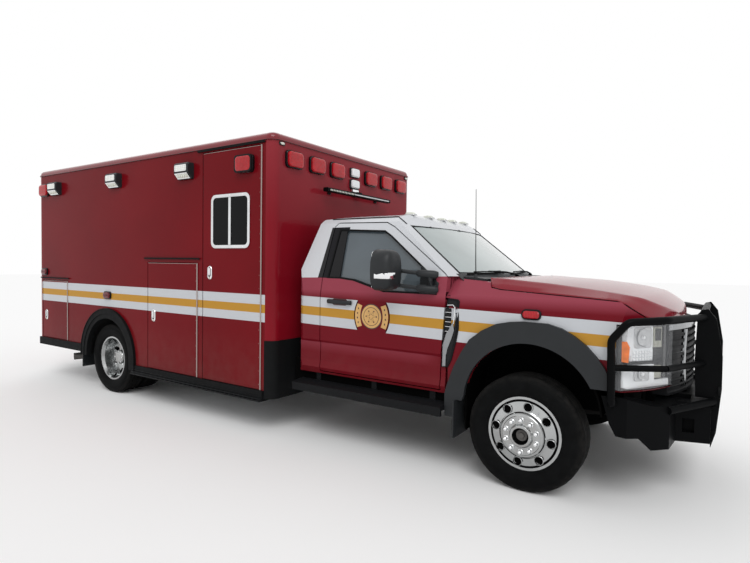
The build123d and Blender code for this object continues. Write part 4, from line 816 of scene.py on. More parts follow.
def warning_lamp(shape, wall, across, up, wide, high, deep, lens="red_lens"):
    """A dark bezel round a crowned, upright-ribbed lens."""
    corner = min(36, high / 3)
    pillow(shape, wall, across, up, wide, high, ((0.3, 0), (deep * 0.45, 0), (deep * 0.55, 4)), corner)
    pillow(shape, wall, across, up, wide - 18, high - 18,
           ((deep * 0.4, 0), (deep * 0.86, 2), (deep * 0.96, 7), (deep, 16)), corner, lens)
    ribs = spaced(across - wide / 2 + 36, across + wide / 2 - 36, max(int(wide / 20), 3))
    places = [on_wall(wall, spot, up, deep - 0.8) for spot in ribs]
    shape.repeat(places, wall_size(wall, 5, high - 66, 3), finish=lens)


def lamps():
    """The red lamps high and low on the walls, and the rear's stacks of red, amber and white."""
    shape = Shape("black_gloss")
    for wall, up, high in (("front", 2518, 160), ("rear", 2590, 110)):
        for y in (-952, -625, -307, 307, 625, 952):
            warning_lamp(shape, wall, y, up, 222, high, 48)
    for wall in ("right", "left"):
        warning_lamp(shape, wall, -6385, 2473, 222, 160, 48)
        for x, up in ((-6409, 1403), (-4902, 1155)):
            warning_lamp(shape, wall, x, up, 150, 90, 30, "dark_red_lens")
    for y in (-980, 980):
        for up, lens in ((1500, "red_lens"), (1340, "amber_lens"), (1180, "lamp_white")):
            warning_lamp(shape, "rear", y, up, 220, 130, 30, lens)
    shape.done("warning_lamp_lenses", ROOT, "red_lens", ["warning_lamps"])
    door_lamp = Shape("black_gloss")
    warning_lamp(door_lamp, "right", -2586, 2471, 226, 164, 50)
    door_lamp.done("entry_door_lamp", "entry_door", "red_lens")


def flood_lamp(shape, side, x):
    """A black wedge housing with a grid of small lamps above and a bright bowl below."""
    low, high = 2393, 2553
    middle = (low + high) / 2
    face = 80

    def spot(px, out, up):
        return (px, side * (MODULE_SIDE + out), up)

    def sloped(px, along, lift):
        return spot(px, 30 + 50 * along + lift * 0.76, low + 58 * along - lift * 0.65)

    profile = ((0.3, low), (30, low), (face, low + 58), (face, high - 18), (62, high), (0.3, high))
    shape.loft([[spot(px, out if out < 1 else out - shrink * 0.8, middle + (up - middle) * (1 - shrink / 80))
                 for out, up in profile]
                for px, shrink in ((x - 111, 10), (x - 101, 0), (x + 101, 0), (x + 111, 10))], smooth=False)
    # The grid of small lamps on the upright face
    ring = rounded((x - 92, x + 92), (low + 74, high - 22), 12)
    shape.loft([[spot(a, out, b) for a, b in ring] for out in (face - 6, face + 1)], "chrome")
    leds = [spot(a, face + 1, b) for a in spaced(x - 76, x + 76, 6) for b in spaced(low + 88, high - 36, 3)]
    shape.repeat(leds, (22, 6, 17), "dome", "led_lens", steps=10)
    # The bright bowl on the sloping face
    for start, end, lift, finish, half in ((0.10, 0.96, 1.5, "chrome", 97), (0.22, 0.84, 4.5, "led_lens", 85)):
        corners = [(x - half, start), (x + half, start), (x + half, end), (x - half, end)]
        shape.loft([[sloped(a, b, level) for a, b in corners] for level in (-3, lift)], finish, smooth=False)
    lamps_below = [sloped(a, 0.53, 6) for a in spaced(x - 70, x + 70, 5)]
    shape.repeat(lamps_below, (20, 12, 26), "dome", "led_lens", steps=10)


def floods():
    shape = Shape("black_plastic")
    for side in (-1, 1):
        for x in (-3447, -4721, -6080):
            flood_lamp(shape, side, x)
    for up in (2418, 2540):
        pillow(shape, "front", 0, up, 150, 102, ((0.3, 0), (18, 0), (22, 4)), 18)
        pillow(shape, "front", 0, up, 134, 88, ((18, 0), (36, 2), (44, 12)), 20, "lamp_white")
        places = [on_wall("front", a, b, 41) for a in spaced(-46, 46, 4) for b in (up - 22, up + 22)]
        shape.repeat(places, (6, 26, 32), "dome", "led_lens", steps=10)
    shape.done("flood_lamp_heads", ROOT, "white_lens", ["flood_lamps"])


def scene_light_bar():
    """The slim bar of small lamps across the front wall."""
    shape = Shape("black_satin")
    x = MODULE_FRONT + 84
    wall = MODULE_FRONT + 0.3
    feet = (-420, 420)
    shape.outline(rounded((x - 31, x + 31), (2272, 2312), 11), -575, 575, ease=1.5)
    shape.outline(rounded((x + 22, x + 33), (2278, 2303), 5), -545, 545)
    shape.repeat([(x + 32.5, y, 2290) for y in spaced(-530, -150, 16)], (5, 18, 20), "dome", "led_lens", steps=8)
    shape.outline(rounded((x + 30, x + 34), (2283, 2297), 3), -130, 540, finish="lamp_grey")
    for y in feet:
        shape.slab((wall, x - 20), (y - 20, y + 20), (2284, 2300), 2)
        shape.slab((wall, MODULE_FRONT + 7), (y - 30, y + 30), (2262, 2322), 2)
    shape.slab((wall, x + 6), (-44, 44), (2308, 2330), 3)
    shape.slab((wall, MODULE_FRONT + 34), (-60, 60), (2330, 2366), 6, "chrome", "black_satin")
    bolts = [(MODULE_FRONT + 8, y + dy, z) for y in feet for dy in (-20, 20) for z in (2270, 2314)]
    shape.repeat(bolts, (8, 8, 4), "dome", "chrome", steps=8)
    shape.done("light_bar_body", ROOT, "lamp_bezel", ["light_bar"])


def arch_band(radius):
    """Half a wheel arch with its two legs, from the rear foot to the front one."""
    curve = arc(-WHEELBASE, ARCH_CENTRE, radius, 180, 0, 25)
    return [(-WHEELBASE - radius, 402)] + curve + [(-WHEELBASE + radius, 330)]


def arches_and_rails():
    """The inner lip of the rear wheel flares, the stepped foot of the rub rails and the tail pipe's end."""
    shape = Shape("rubber")
    face = MODULE_SIDE + RUB_DEPTH
    for s in (-1, 1):
        shape.outline(arch_band(501) + arch_band(446)[::-1], s * (MODULE_SIDE - 46), s * (MODULE_SIDE + 20), ease=3)
        shape.outline(arch_band(566) + arch_band(556)[::-1], s * (MODULE_SIDE + 24), s * (MODULE_SIDE + 31))
        for z0, z1, out in ((-1, 14, 26), (14, 30, 13), (44, 52, 5)):
            shape.slab((-4380, -2345), (s * (face - 4), s * (face + out)), (SKIRT_FOOT + z0, SKIRT_FOOT + z1),
                       ease=2.5, finish="trim_black")
    shape.done("arch_lips_and_rail_steps", ROOT, "black_trim", sharp=40)
    pipe = Shape("cast_metal")
    mouth = (-5840, -1130, 318)
    pipe.rod([(-5500, -820, 345), (-5640, -900, 340), (-5760, -1010, 328), mouth], 44, sides=20)
    pipe.turn(mouth, (-0.55, -0.83, -0.07), [(0.5, 0), (0.5, 39)], 20, finish="arch_black")
    pipe.slab((-5520, -5480), (-835, -805), (380, 470), ease=3)
    pipe.done("tail_pipe_end", ROOT, "cast_metal", sharp=50)


def small_trim():
    """The clearance lamps at the corners of the front and rear walls."""
    shape = Shape("black_plastic")
    for y in (-1105, 1105):
        pillow(shape, "front", y, 2640, 74, 34, ((0.3, 0), (10, 2)), 12)
        shape.repeat([on_wall("front", y, 2640, 12)], (14, 56, 24), "dome", "led_lens")
    for y in (-1105, 0, 1105):
        pillow(shape, "rear", y, 2640 if y else 2655, 74, 30, ((0.3, 0), (10, 2)), 12)
    shape.done("corner_lamps", ROOT, "lamp_bezel")


def window_frame(name, body, node, wall, across, up, wide, high, bars=()):
    """A bright rounded frame with a rubber seal round dark panes."""
    shape = Shape("bright_metal")
    spot = facing(wall)

    def edge(shrink, radius):
        return plaque(across, up, wide - 2 * shrink, high - 2 * shrink, radius)

    for outer, inner, radius, top, finish in ((0, 30, 60, 12, "bright_metal"), (30, 37, 40, 9, "rubber")):
        tight = max(radius - (inner - outer) * 0.7, 6)
        rings = [[spot(a, b, out) for a, b in edge(shrink, corner)] for shrink, corner, out in (
            (outer, radius, 0.3), (outer, radius, top - 2), (outer + 3, radius, top),
            (inner - 3, tight, top), (inner, tight, top - 2), (inner, tight, 0.3))]
        shape.loft(rings + rings[:1], finish, closed_ends=False)
    shape.pad(spot, edge(36, 34), ((0.5, 0), (6, 0)), "dark_glass", smooth=True)
    for bar in bars:
        shape.pad(spot, plaque(bar, up, 32, high - 64, 3), ((5, 0), (11.5, 0)))
    side, head = wide / 2 - 13, high / 2 - 13
    screws = [(a, b) for a in spaced(77 - side, side - 77, 3) for b in (-head, head)]
    screws += [(a, b) for b in spaced(77 - head, head - 77, 4) for a in (-side, side)]
    shape.repeat([spot(across + a, up + b, 12) for a, b in screws], wall_size(wall, 9, 9, 3), "dome", "chrome", steps=8)
    shape.done(name, body, "tinted_glass", [node])


def latch(shape, wall, across, up):
    """An upright paddle latch: a bright oval pan, its black well and the paddle in it, with a key lock."""
    for rise, wide, high, steps, radius, finish in (
            (0, 62, 132, ((0.3, 0), (5, 0), (9, 3), (10, 8)), 30, "chrome"),
            (6, 42, 96, ((9.5, 0), (10.6, 1)), 20, "black_plastic"),
            (10, 30, 76, ((10, 0), (15, 1), (18, 6)), 13, "chrome"),
            (-52, 15, 15, ((9, 0), (13, 1), (14, 3)), 7, "brass")):
        pillow(shape, wall, across, up + rise, wide, high, steps, radius, finish)


DOORS = (  # body, wall, hinge x, latch x, bottom, top, latch z
    ("entry_door", "right", -2381, -3195, 395, 2628, 1457),
    ("side_door_middle_right", "right", -3277, -4114, 400, 1547, 976),
    ("side_door_rear_right", "right", -5827, -6478, 537, 1292, 835),
    ("side_door_front_left", "left", -2381, -3195, 395, 2628, 1457),
    ("side_door_middle_left", "left", -3277, -4114, 400, 1547, 976),
    ("side_door_rear_left", "left", -5827, -6478, 537, 1292, 835),
)


def door_fittings():
    """Latches, drip rails, seals and hinge screws of the side doors; latches and grab rails of the rear ones."""
    for body, wall, front, rear, bottom, top, latch_z in DOORS:
        shape = Shape("chrome")
        latch(shape, wall, rear + 112, latch_z)
        shape.slab(*zip(on_wall(wall, rear + 14, top - 7, -3), on_wall(wall, front - 16, top - 3, 2.2)),
                   ease=0.8, finish="dull_metal")
        shape.slab(*zip(on_wall(wall, rear + 3, bottom + 12, -2), on_wall(wall, rear + 6, top - 14, 1.2)),
                   finish="rubber")
        screws = spaced(bottom + 50, top - 50, max(int((top - bottom) / 120), 5))
        shape.repeat([on_wall(wall, front - 22, z, 2.2) for z in screws], wall_size(wall, 6, 6, 2), "dome",
                     "dull_metal", steps=8)
        shape.done(body + "_fittings", body, "polished_wheel")
    for name, s in SIDES:
        shape = Shape("chrome")
        latch(shape, "rear", s * 92, 1290)
        rail = ((1010, 2), (1018, 52), (1060, 60), (1460, 60), (1502, 52), (1510, 2))
        shape.rod([on_wall("rear", s * 560, z, out) for z, out in rail], 13, finish="bright_metal")
        shape.done(f"rear_door_fittings_{name}", f"rear_door_{name}", "polished_wheel")


def module():
    lamps()
    floods()
    scene_light_bar()
    small_trim()
    door_fittings()
    arches_and_rails()
    window_frame("entry_window_frame", "entry_door", "entry_window", "right", -2793, 1953, 536, 515, (-2795,))
    low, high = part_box("rear_window_right")
    for name, s in SIDES:
        window_frame(f"rear_window_frame_{name}", f"rear_door_{name}", f"rear_window_{name}", "rear",
                     s * abs((low.y + high.y) * 500), (low.z + high.z) * 500,
                     (high.y - low.y) * 1000, (high.z - low.z) * 1000)


module()


# The cab

# Half of the cab's section as (height, y), and the same for the fenders
CAB_HALF = ((560, 986), (640, 1012), (700, 1002), (862, 998), (884, 1012), (1300, 1014), (1436, 1004), (1925, 848),
            (1967, 798))
FENDER_HALF = ((560, 1006), (1000, 1014), (1230, 1012), (1338, 984), (1392, 932), (1462, 862))
WINDOW = [(-708, 1340), (-694, 1424), (-738, 1466), (-1190, 1800), (-1266, 1846), (-1745, 1868), (-1776, 1440),
          (-1646, 1440), (-1500, 1426), (-1336, 1382), (-1190, 1342)]
SAIL = [(-704, 1341), (-690, 1424), (-738, 1468), (-868, 1563), (-852, 1341)]
PILLAR = [(-1772, 1444), (-1650, 1444), (-1667, 1862), (-1743, 1865)]
NOSE_ARCS = (((-1014, 600), (-730, 800), (-350, 881)), ((-350, 881), (0, 893), (350, 881)))
BADGE_X, BADGE_Z = -1301, 1129


def between_rows(rows, z):
    """The second value of a table at z, along straight lines between its rows."""
    for (low, a), (high, b) in zip(rows, rows[1:]):
        if z <= high:
            return a + (b - a) * (z - low) / (high - low)
    return rows[-1][1]


def on_cab(x, z, out=0.0):
    return (x, -(between_rows(CAB_HALF, z) + out), z)


def on_fender(x, z, out=0.0):
    return (x, -(between_rows(FENDER_HALF, z) + out), z)


def on_screen(y, t, out=0.0):
    """A point on the windscreen, t = 0 at its foot and 1 at its head."""
    return (-420 - 0.000163 * y * y - 630 * t + 0.616 * out, y, 1452 + 493 * t + 0.787 * out)


def nose_x(y):
    """How far forward the nose reaches at y."""
    first, middle, last = NOSE_ARCS[0 if abs(y) > 350 else 1]
    y = -abs(y)
    value = 0.0
    for one, two, three in ((first, middle, last), (middle, first, last), (last, first, middle)):
        value += one[1] * (y - two[0]) * (y - three[0]) / ((one[0] - two[0]) * (one[0] - three[0]))
    return value


def surface(node):
    """A ray finder on the outside of a CAD node."""
    mesh = cad[node].data
    return BVHTree.FromPolygons([vert.co for vert in mesh.vertices], [face.vertices for face in mesh.polygons])


def badge(shape):
    """The plain round badge with its ring, six petals and two side fields."""
    disc = arc(BADGE_X, BADGE_Z, 97, 0, 351, 40)
    shape.pad(on_cab, shrunk(disc, -8), ((-1, 0), (0.8, 0)), "emblem_dark")
    shape.pad(on_cab, disc, ((0.5, 0), (1.6, 0), (2.2, 2)), "emblem_gold")
    shape.band(on_cab, shrunk(disc, 20), shrunk(disc, 24), 2.0, 2.9, "emblem_dark")
    petals = [[(BADGE_X + r * size * math.cos(a), BADGE_Z + r * size * math.sin(a))
               for k in range(6) for r, a in ((22, math.tau * (k - 0.28) / 6), (56, math.tau * (k - 0.10) / 6),
                                              (56, math.tau * (k + 0.10) / 6), (22, math.tau * (k + 0.28) / 6))]
              for size in (1, 0.82)]
    shape.band(on_cab, *petals, 2.0, 2.9, "emblem_dark")

    def bowed(heights, reach, bow, rise):
        return [(BADGE_X + turn * (reach + bow * (1 - t * t)), BADGE_Z + t * rise) for t in heights]

    for turn in (-1, 1):
        heights = spaced(-0.78, 0.82, 9)
        field = bowed(heights, 127, 38, 125) + bowed(heights[::-1], 82, 30, 106)
        shape.pad(on_cab, field, ((-1, 0), (1.4, 0), (1.8, 1)), "emblem_gold")
        for a, b in bowed(spaced(-0.5, 0.55, 4), 106, 34, 112):
            shape.pad(on_cab, plaque(a, b, 10, 16, 3, 2), ((1.2, 0), (2.4, 0)), "emblem_dark")


def door_trim(side, s):
    """The window's seal, the mirror's sail, the black pillar, the handle over a dark pad of painted shade for its
    pocket, and the badge.
    """
    shape = Shape("rubber")
    shape.band(on_cab, shrunk(WINDOW, -5), shrunk(WINDOW, 9), -23, 1.6)
    shape.pad(on_cab, SAIL, ((-20, 0), (3, 0), (6, 4)), "black_plastic")
    shape.pad(on_cab, PILLAR, ((-21, 0), (-6, 0), (-5, 2)), "black_gloss")
    handle = [(-1756, -1020, 1236), (-1748, -1034, 1236), (-1726, -1040, 1236), (-1532, -1040, 1232),
              (-1512, -1034, 1232), (-1504, -1020, 1232)]
    shape.rod(handle, 9, sides=12, finish="black_plastic", flat=2.1)
    # A dark pad behind the handle for its pocket: painted shade.
    shape.pad(on_cab, rounded((-1716, -1548), (1204, 1262), 26), ((-2, 0), (0.8, 0)), "emblem_dark")
    badge(shape)
    if s > 0:
        flip(shape.bm)
    shape.done(f"cab_door_trim_{side}", f"cab_door_{side}", "black_trim", sharp=40)


def mirror(side, s):
    """The mirror's shell, its two glasses, the bright side strip and the arms to the door."""
    shape = Shape("black_plastic")
    middle, level = -1222, 1520
    rings = []
    for x, wide, high in ((-1100, 120, 156), (-1092, 123, 159), (-1040, 122.5, 158.5), (-1000, 121, 156),
                          (-974, 115, 149), (-955, 102, 135), (-945, 84, 113), (-941, 56, 80)):
        ring = []
        for c, d in arc(0, 0, 1, 0, 348.75, 32):
            b = math.copysign(abs(d) ** 0.55, d) * high
            a = math.copysign(abs(c) ** 0.55, c) * wide * (1 - (0.26 if b > 0 else 0.10) * (b / 159) ** 2)
            ring.append((x, middle + a, level + b))
        rings.append(ring)
    shape.loft(rings)
    for glass in (rounded((-1322, -1122), (1454, 1660), 30), rounded((-1320, -1124), (1380, 1438), 18)):
        shape.outline(glass, -1100, -1097.5, axis="x", finish="chrome")
    rows = []
    for x, y in ((-1060, -1338), (-1000, -1337), (-974, -1330.5), (-955, -1317), (-945, -1298), (-941.5, -1268),
                 (-940.5, -1244)):
        away = Vector(((x + 1040) * 1.1, (y - middle) * 0.6, 0)).normalized()
        rows.append([(x + away.x * d, y + away.y * d, z)
                     for d, z in ((-6, 1455), (3, 1455), (5.5, 1460), (5.5, 1496), (3, 1501), (-6, 1501))])
    shape.loft(rows, "chrome")
    for near, far in ((1516, 1496), (1402, 1382)):
        shape.rod([(-985, -1110, near), (-930, -1096, (near + far) / 2 + 4), (-836, -1066, far + 4)], 14, sides=12,
                  flat=1.1)
        root = [(-850, -1070, far + 4), (-838, -1066, far + 4), (-800, -1052, far), (-716, -1034, far - 6),
                (-700, -1012, far - 8)]
        shape.rod(root, (16, 23, 26, 27, 22), sides=8, flat=1.15)
    shape.rod([(-750, -1030, 1500), (-744, -1034, 1440), (-740, -1030, 1376)], (30, 22, 30), sides=8, flat=0.7)
    shape.slab((-770, -700), (-1036, -985), (1366, 1410), ease=8)
    shape.slab((-790, -704), (-1030, -972), (1468, 1512), ease=8)
    if s > 0:
        flip(shape.bm)
    shape.done(f"mirror_forms_{side}", f"cab_door_{side}", "black_trim", [f"mirror_{side}"], sharp=45)


VENT = [(-617, 1300), (-606, 1314), (-532, 1308), (-516, 1294), (-512, 1093), (-528, 1000), (-567, 850), (-596, 792),
        (-650, 790), (-636, 1051)]
VENT_HOOK = [(-608, 1262), (-562, 1265), (-549, 1252), (-546, 1205), (-552, 1125)]
VENT_BLADE = [(-560, 1134), (-549, 1076), (-570, 1008), (-600, 935), (-612, 880), (-614, 797), (-646, 793),
              (-643, 950), (-615, 1040), (-584, 1100)]
GAP_FILLER = [(-636, 1318), (-621, 1462), (-604, 1474), (-598, 1440), (-598, 1316), (-612, 1314)]


def fender_trim():
    """The side vent with its cells and bright strip, the red marker lamp and the gap's filler, on each front fender."""
    shape = Shape("trim_black")
    shape.pad(on_fender, VENT, ((-2, 0), (7, 0), (10, 4)))
    shape.pad(on_fender, shrunk(VENT, 16), ((9, 0), (4, 3)), "black_gloss")
    for k in range(5):
        z = 1226 - k * 36
        shape.pad(on_fender, plaque(-599, z, 50, 28, 7, 3), ((4, 0), (10.6, 0), (11.2, 2)))
        shape.pad(on_fender, plaque(-599, z, 34, 16, 4, 2), ((11, 0), (11.6, 0)), "black_gloss")
        shape.rod([on_fender(-622, z - 17, 9), on_fender(-576, z - 17, 9)], 2, sides=6, finish="chrome")
    for k in range(9):
        z = 1236 - k * 34
        back = max(0, 1060 - z) * 0.22
        shape.rod([on_fender(-538 - back, z, 7), on_fender(-526 - back, z + 4, 9)], 3, sides=6)
    shape.rod([on_fender(a, b, 11) for a, b in VENT_HOOK], (4, 5, 5, 4.5, 4), sides=8, finish="chrome")
    shape.pad(on_fender, VENT_BLADE, ((3, 0), (9, 0), (13, 7)), "dark_chrome")
    marker = rounded((-42, 94), (1195, 1267), 30)
    shape.pad(on_fender, marker, ((-3, 0), (10, 0), (15, 8)))
    shape.pad(on_fender, shrunk(marker, 11), ((12, 0), (17, 0), (21, 6), (22, 14)), "red_lens")
    shape.pad(on_fender, GAP_FILLER, ((-40, 0), (-1.5, 0)), "cab_paint")
    shape.mirror()
    shape.done("fender_trim", ROOT, "black_trim", sharp=45)


def screen_trim():
    """Windscreen seal, black foot, wipers, aerial, roof channel strips and the roof marker lamps."""
    shape = Shape("rubber")
    edge = [(-845, 0.092), (-772, 0.902), (-500, 0.907), (0, 0.908), (500, 0.907), (772, 0.902), (845, 0.092),
            (500, 0.088), (0, 0.086), (-500, 0.088)]
    inner = [(-818, 0.118), (-752, 0.880), (-500, 0.887), (0, 0.889), (500, 0.887), (752, 0.880), (818, 0.118),
             (500, 0.112), (0, 0.110), (-500, 0.112)]
    shape.band(on_screen, edge, inner, -9, 0.8)
    foot = spaced(-880, 880, 17)
    for y0, y1 in zip(foot, foot[1:]):
        corners = [(y0, -0.01), (y1, -0.01), (y1, 0.094), (y0, 0.094)]
        shape.pad(on_screen, corners, ((-2, 0), (1.5, 0)), "black_plastic", smooth=True)
    for start, end, pivot in ((-770, -150, 60), (-40, 560, 700)):
        grip = (start + end) / 2

        def swept(y, t, rise, out):
            return on_screen(y, t + rise * (y - start) / (end - start), out)

        shape.rod([swept(y, 0.075, 0.028, 9) for y in spaced(start, end, 9)], 5, sides=6, flat=1.6)
        shape.rod([swept(y, 0.09, 0.020, 20) for y in spaced(start + 90, end - 90, 7)], 7, sides=6,
                  finish="black_satin", flat=0.8)
        arm = [on_screen(pivot, 0.03, 14), on_screen(pivot - 60, 0.04, 26), on_screen((pivot + grip) / 2, 0.07, 34),
               on_screen(grip, 0.10, 24)]
        shape.rod(arm, (15, 12, 9, 7), sides=8, finish="black_satin", flat=0.7)
        shape.turn(on_screen(pivot, 0.03, -4), (0.616, 0, 0.787), [(0, 22), (18, 22), (26, 17), (28, 0)], 16,
                   finish="black_satin")
    shape.turn((-476, -800, 1462), (0, 0, 1), [(0, 24), (10, 22), (20, 12), (34, 9), (36, 5)], 16,
               finish="black_plastic")
    aerial = [(-476, -800, 1490), (-480, -800, 1640), (-484, -800, 1900), (-488, -800, 2152)]
    shape.rod(aerial, (4.5, 3.6, 2.8, 2.2), sides=8, finish="black_satin")
    roof = surface("cab_roof")

    def roof_height(x, y):
        spot = roof.ray_cast(point(x, y, 2400), Vector((0, 0, -1)))[0]
        return spot and spot.z * 1000

    for turn in (-1, 1):
        strip = []
        for x in [*range(-1880, -1180, 70), -1180, -1150, -1120, -1100]:
            found = [(x, turn * y, roof_height(x, turn * y) + 1) for y in (800, 806, 812) if roof_height(x, turn * y)]
            strip += found[:1]
        shape.rod(strip, 7, sides=8, flat=0.8)
    for y in (-560, -250, 0, 250, 560):
        x = -1175 - abs(y) * 0.05
        z = roof_height(x, y)
        shape.outline(plaque(x, y, 120, 50, 20), z - 6, z + 5, axis="z", finish="lamp_grey")
        shape.loft([[(x - shift + a * k, y + b * k, z + up) for a, b in plaque(0, 0, 100, 40, 18)]
                    for up, k, shift in ((4, 1, 0), (14, 0.94, 2), (22, 0.78, 6), (26, 0.5, 10))], "led_lens")
    shape.done("screen_and_roof_trim", ROOT, "black_trim", sharp=45)


LAMP_FORMS = (  # the housings with their bowls' plates, the ribs and the beige blocks: outline, layers, finish
    ([(-995, 1194), (-996, 1060), (-972, 1004), (-944, 1004), (-944, 968), (-792, 966), (-792, 1190), (-900, 1198)],
     ((-36, 0), (-16, 0), (-14, 3)), "lamp_white"),
    ([(-996, 940), (-982, 800), (-958, 790), (-612, 786), (-618, 832), (-770, 836), (-776, 940)],
     ((-36, 0), (-16, 0), (-14, 3)), "lamp_white"),
    (rounded((-930, -806), (1050, 1184), 18), ((-17, 0), (-12, 0), (-11, 3)), "lamp_grey"),
    (rounded((-920, -818), (836, 934), 14), ((-17, 0), (-12, 0), (-11, 3)), "lamp_grey"),
    ([(-938, 1038), (-940, 970), (-796, 968), (-796, 1036)], ((-16, 0), (-12, 0)), "lamp_white"),
    ([(-778, 1184), (-778, 1050), (-700, 1044), (-700, 1180)], ((-34, 0), (-20, 0), (-18, 4)), "lamp_beige"),
    ([(-768, 1172), (-768, 1092), (-716, 1090), (-716, 1168)], ((-18, 0), (-15, 0)), "black_gloss"),
    ([(-768, 930), (-768, 846), (-700, 842), (-700, 926)], ((-34, 0), (-20, 0), (-18, 4)), "lamp_beige"),
)


def headlamps():
    """The lamp forms behind a clear cover that follows the nose."""
    shape = Shape("black_gloss")

    def front(a, b, out):
        return (nose_x(a) + out, a, b)

    curve = [(nose_x(y), y) for y in (-1012, -990, -950, -900, -850, -800, -750, -700, -650, -606)]
    back = [(x - 96, y + 8) for x, y in reversed(curve)] + [(566, -960)]
    shape.outline([(566, -1013), (600, -1013)] + [(x - 34, y + 12) for x, y in curve] + back, 783, 1199, axis="z")
    for outline, layers, finish in LAMP_FORMS:
        shape.pad(front, outline, layers, finish)
    for z, mouth in ((1118, 58), (884, 42)):
        bowl = [(4, mouth), (1, mouth - 4), (-8, mouth * 0.72), (-14, mouth * 0.40), (-16, 0)]
        shape.turn((nose_x(-868) - 14, -868, z), (1, -0.55, 0), bowl, 28, finish="chrome")
        shape.turn((nose_x(-868) - 20, -868, z), (1, -0.55, 0), [(0, 13), (12, 13), (17, 9), (18, 0)], 14,
                   finish="lamp_white")
    cells = [front(y, z, -9) for y in spaced(-930, -812, 7) for z in (982, 1004, 1026)]
    shape.repeat(cells, (10, 13, 13), "cube", "chrome")
    # The amber block at the outer edge and the grey one above it
    shape.outline([(592, 1098), (592, 968), (640, 966), (646, 1064), (628, 1100)], -1010, -996, ease=3,
                  finish="amber_lens")
    shape.outline([(590, 1190), (590, 1104), (624, 1104), (634, 1190)], -1008, -998, finish="lamp_grey")
    # The clear cover and the dark lines along its upper and lower edge
    line = [(568, -1013.6), (598, -1013.6)] + curve[1:]
    cover = [shape.row([(x, y, z) for x, y in line]) for z in (784, 1198)]
    shape.take(shape.skin(cover, closed=False), "clear_lens")
    for z in (786, 1196):
        shape.rod([(x - 1, y + 2, z) for x, y in line], 3, sides=6)
    shape.mirror()
    shape.done("headlamp_forms", ROOT, "lamp_bezel", ["headlamps"], sharp=40)


def grille():
    """Bright frame, dark bars with bright upper edges and the mesh of the middle, ahead of the dark grille."""
    shape = Shape("trim_black")

    def front(a, b, out):
        return (825 + 125 * (1 - (a / 592) ** 2) + out, a, b)

    def bar(half, z0, z1, low, high, finish=None):
        section = ((z0, low), (z0, high - 3), ((z0 + z1) / 2, high), (z1, high - 3), (z1, low))
        shape.loft([[front(y, z, out) for z, out in section] for y in spaced(-half, half, 25)], finish, smooth=False)

    bar(590, 1146, 1184, -6, 5, "dark_chrome")
    bar(590, 708, 734, -6, 4)
    for z in (1108, 1064, 1020, 976, 932, 888, 844, 800, 760):
        bar(585, z - 13, z + 11, -8, 3)
        bar(585, z + 10, z + 12.5, -2, 4.0, "chrome" if z in (1108, 976, 844) else None)
    for s in (-1, 1):
        shape.loft([[front(s * (y + dy), z, out) for dy, out in ((-16, -4), (-14, 7), (14, 7), (16, -4))]
                    for y, z in ((330, 742), (352, 900), (352, 1000), (330, 1140))], "dark_chrome", smooth=False)
    mesh = [front(a + 20 * (k % 2), b, 1) for k, b in enumerate(spaced(775, 1125, 9)) for a in spaced(-300, 280, 15)]
    shape.repeat(mesh, (12, 26, 12), "dome", steps=6)
    shape.done("grille_forms", ROOT, "dark_grille", sharp=45)


def guard_trim():
    """The bolt heads on the guard's uprights and the knob at its front."""
    shape = Shape("black_satin")
    for s in (-1, 1):
        for x, z in ((1008, 1236), (1012, 930), (1088, 700), (1090, 640), (1092, 480)):
            shape.turn((x, s * 481, z), (0, s, 0), [(-2, 14), (5, 14), (8, 11), (8, 0)], 12)
    knob = [(0, 10), (8, 12), (14, 30), (26, 33), (31, 30), (33, 0)]
    shape.turn((1098, -470, 756), (1, 0, 0.06), knob, 20, finish="rubber")
    shape.done("guard_trim", ROOT, "black_trim", sharp=45)


def arch_linings():
    """The dark lining inside each front wheel arch."""
    shape = Shape("arch_black")
    arch = arc(12, 563, 472, 4, 176, 25) + arc(12, 563, 484, 176, 4, 25)
    for _, s in SIDES:
        shape.outline(arch, s * 620, s * 1000)
        for x, y0, y1, z in (((-474, -462), 620, 960, (330, 600)), ((548, 556), 560, 930, (520, 800)),
                             ((-2190, -640), 940, 948, (440, 690)), ((-470, 480), 600, 606, (530, 1030))):
            shape.slab(x, (s * y0, s * y1), z)
    shape.done("arch_linings", ROOT, "black_trim", sharp=60)


HOOD_ROWS = (  # x, then half width and height of the lower edge, of the crease, and the height of the middle
    (-336, 846, 1470, 838, 1474, 1477), (-300, 917, 1408, 860, 1474, 1477), (-220, 934, 1395, 860, 1471, 1477),
    (-60, 941, 1386, 860, 1457, 1475), (119, 951, 1376, 860, 1443, 1469), (280, 961, 1367, 861, 1425, 1459),
    (448, 970, 1357, 862, 1405, 1440), (560, 976, 1351, 864, 1391, 1422), (620, 984, 1328, 866, 1382, 1405),
    (669, 936, 1289, 852, 1372, 1393), (700, 893, 1265, 828, 1362, 1385), (724, 857, 1243, 800, 1350, 1378),
    (750, 817, 1222, 764, 1337, 1368), (780, 765, 1213, 716, 1320, 1349), (810, 705, 1210, 660, 1304, 1329),
    (835, 637, 1209, 594, 1289, 1312), (857, 546, 1208, 506, 1274, 1297), (873, 440, 1208, 400, 1248, 1265),
    (885, 286, 1208, 250, 1231, 1242), (892, 104, 1208, 80, 1224, 1228),
)


def hood_section(row, drop=0.0, draw=0.0):
    """One cross section of the hood, from its right edge over the creased top to its left edge."""
    x, edge, low, crease, high, top = row
    edge, crease = edge - draw, crease - draw * 0.7
    side = [(edge, low + (14 if drop else 0) - drop * 0.2), (edge - 1, low + (high - low) * 0.12 + 1 - drop),
            ((edge + crease) / 2, (low + high) / 2 + 3 - drop),
            (crease + (edge - crease) * 0.16, high - (high - low) * 0.16 + 1 - drop), (crease, high - drop)]
    for share in (0.97, 0.88, 0.7, 0.45, 0.2):
        side.append((crease * share, top - (top - high) * share ** 2.4 - drop))
    return [(x, -y, z) for y, z in side] + [(x, 0, top - drop)] + [(x, y, z) for y, z in reversed(side)]


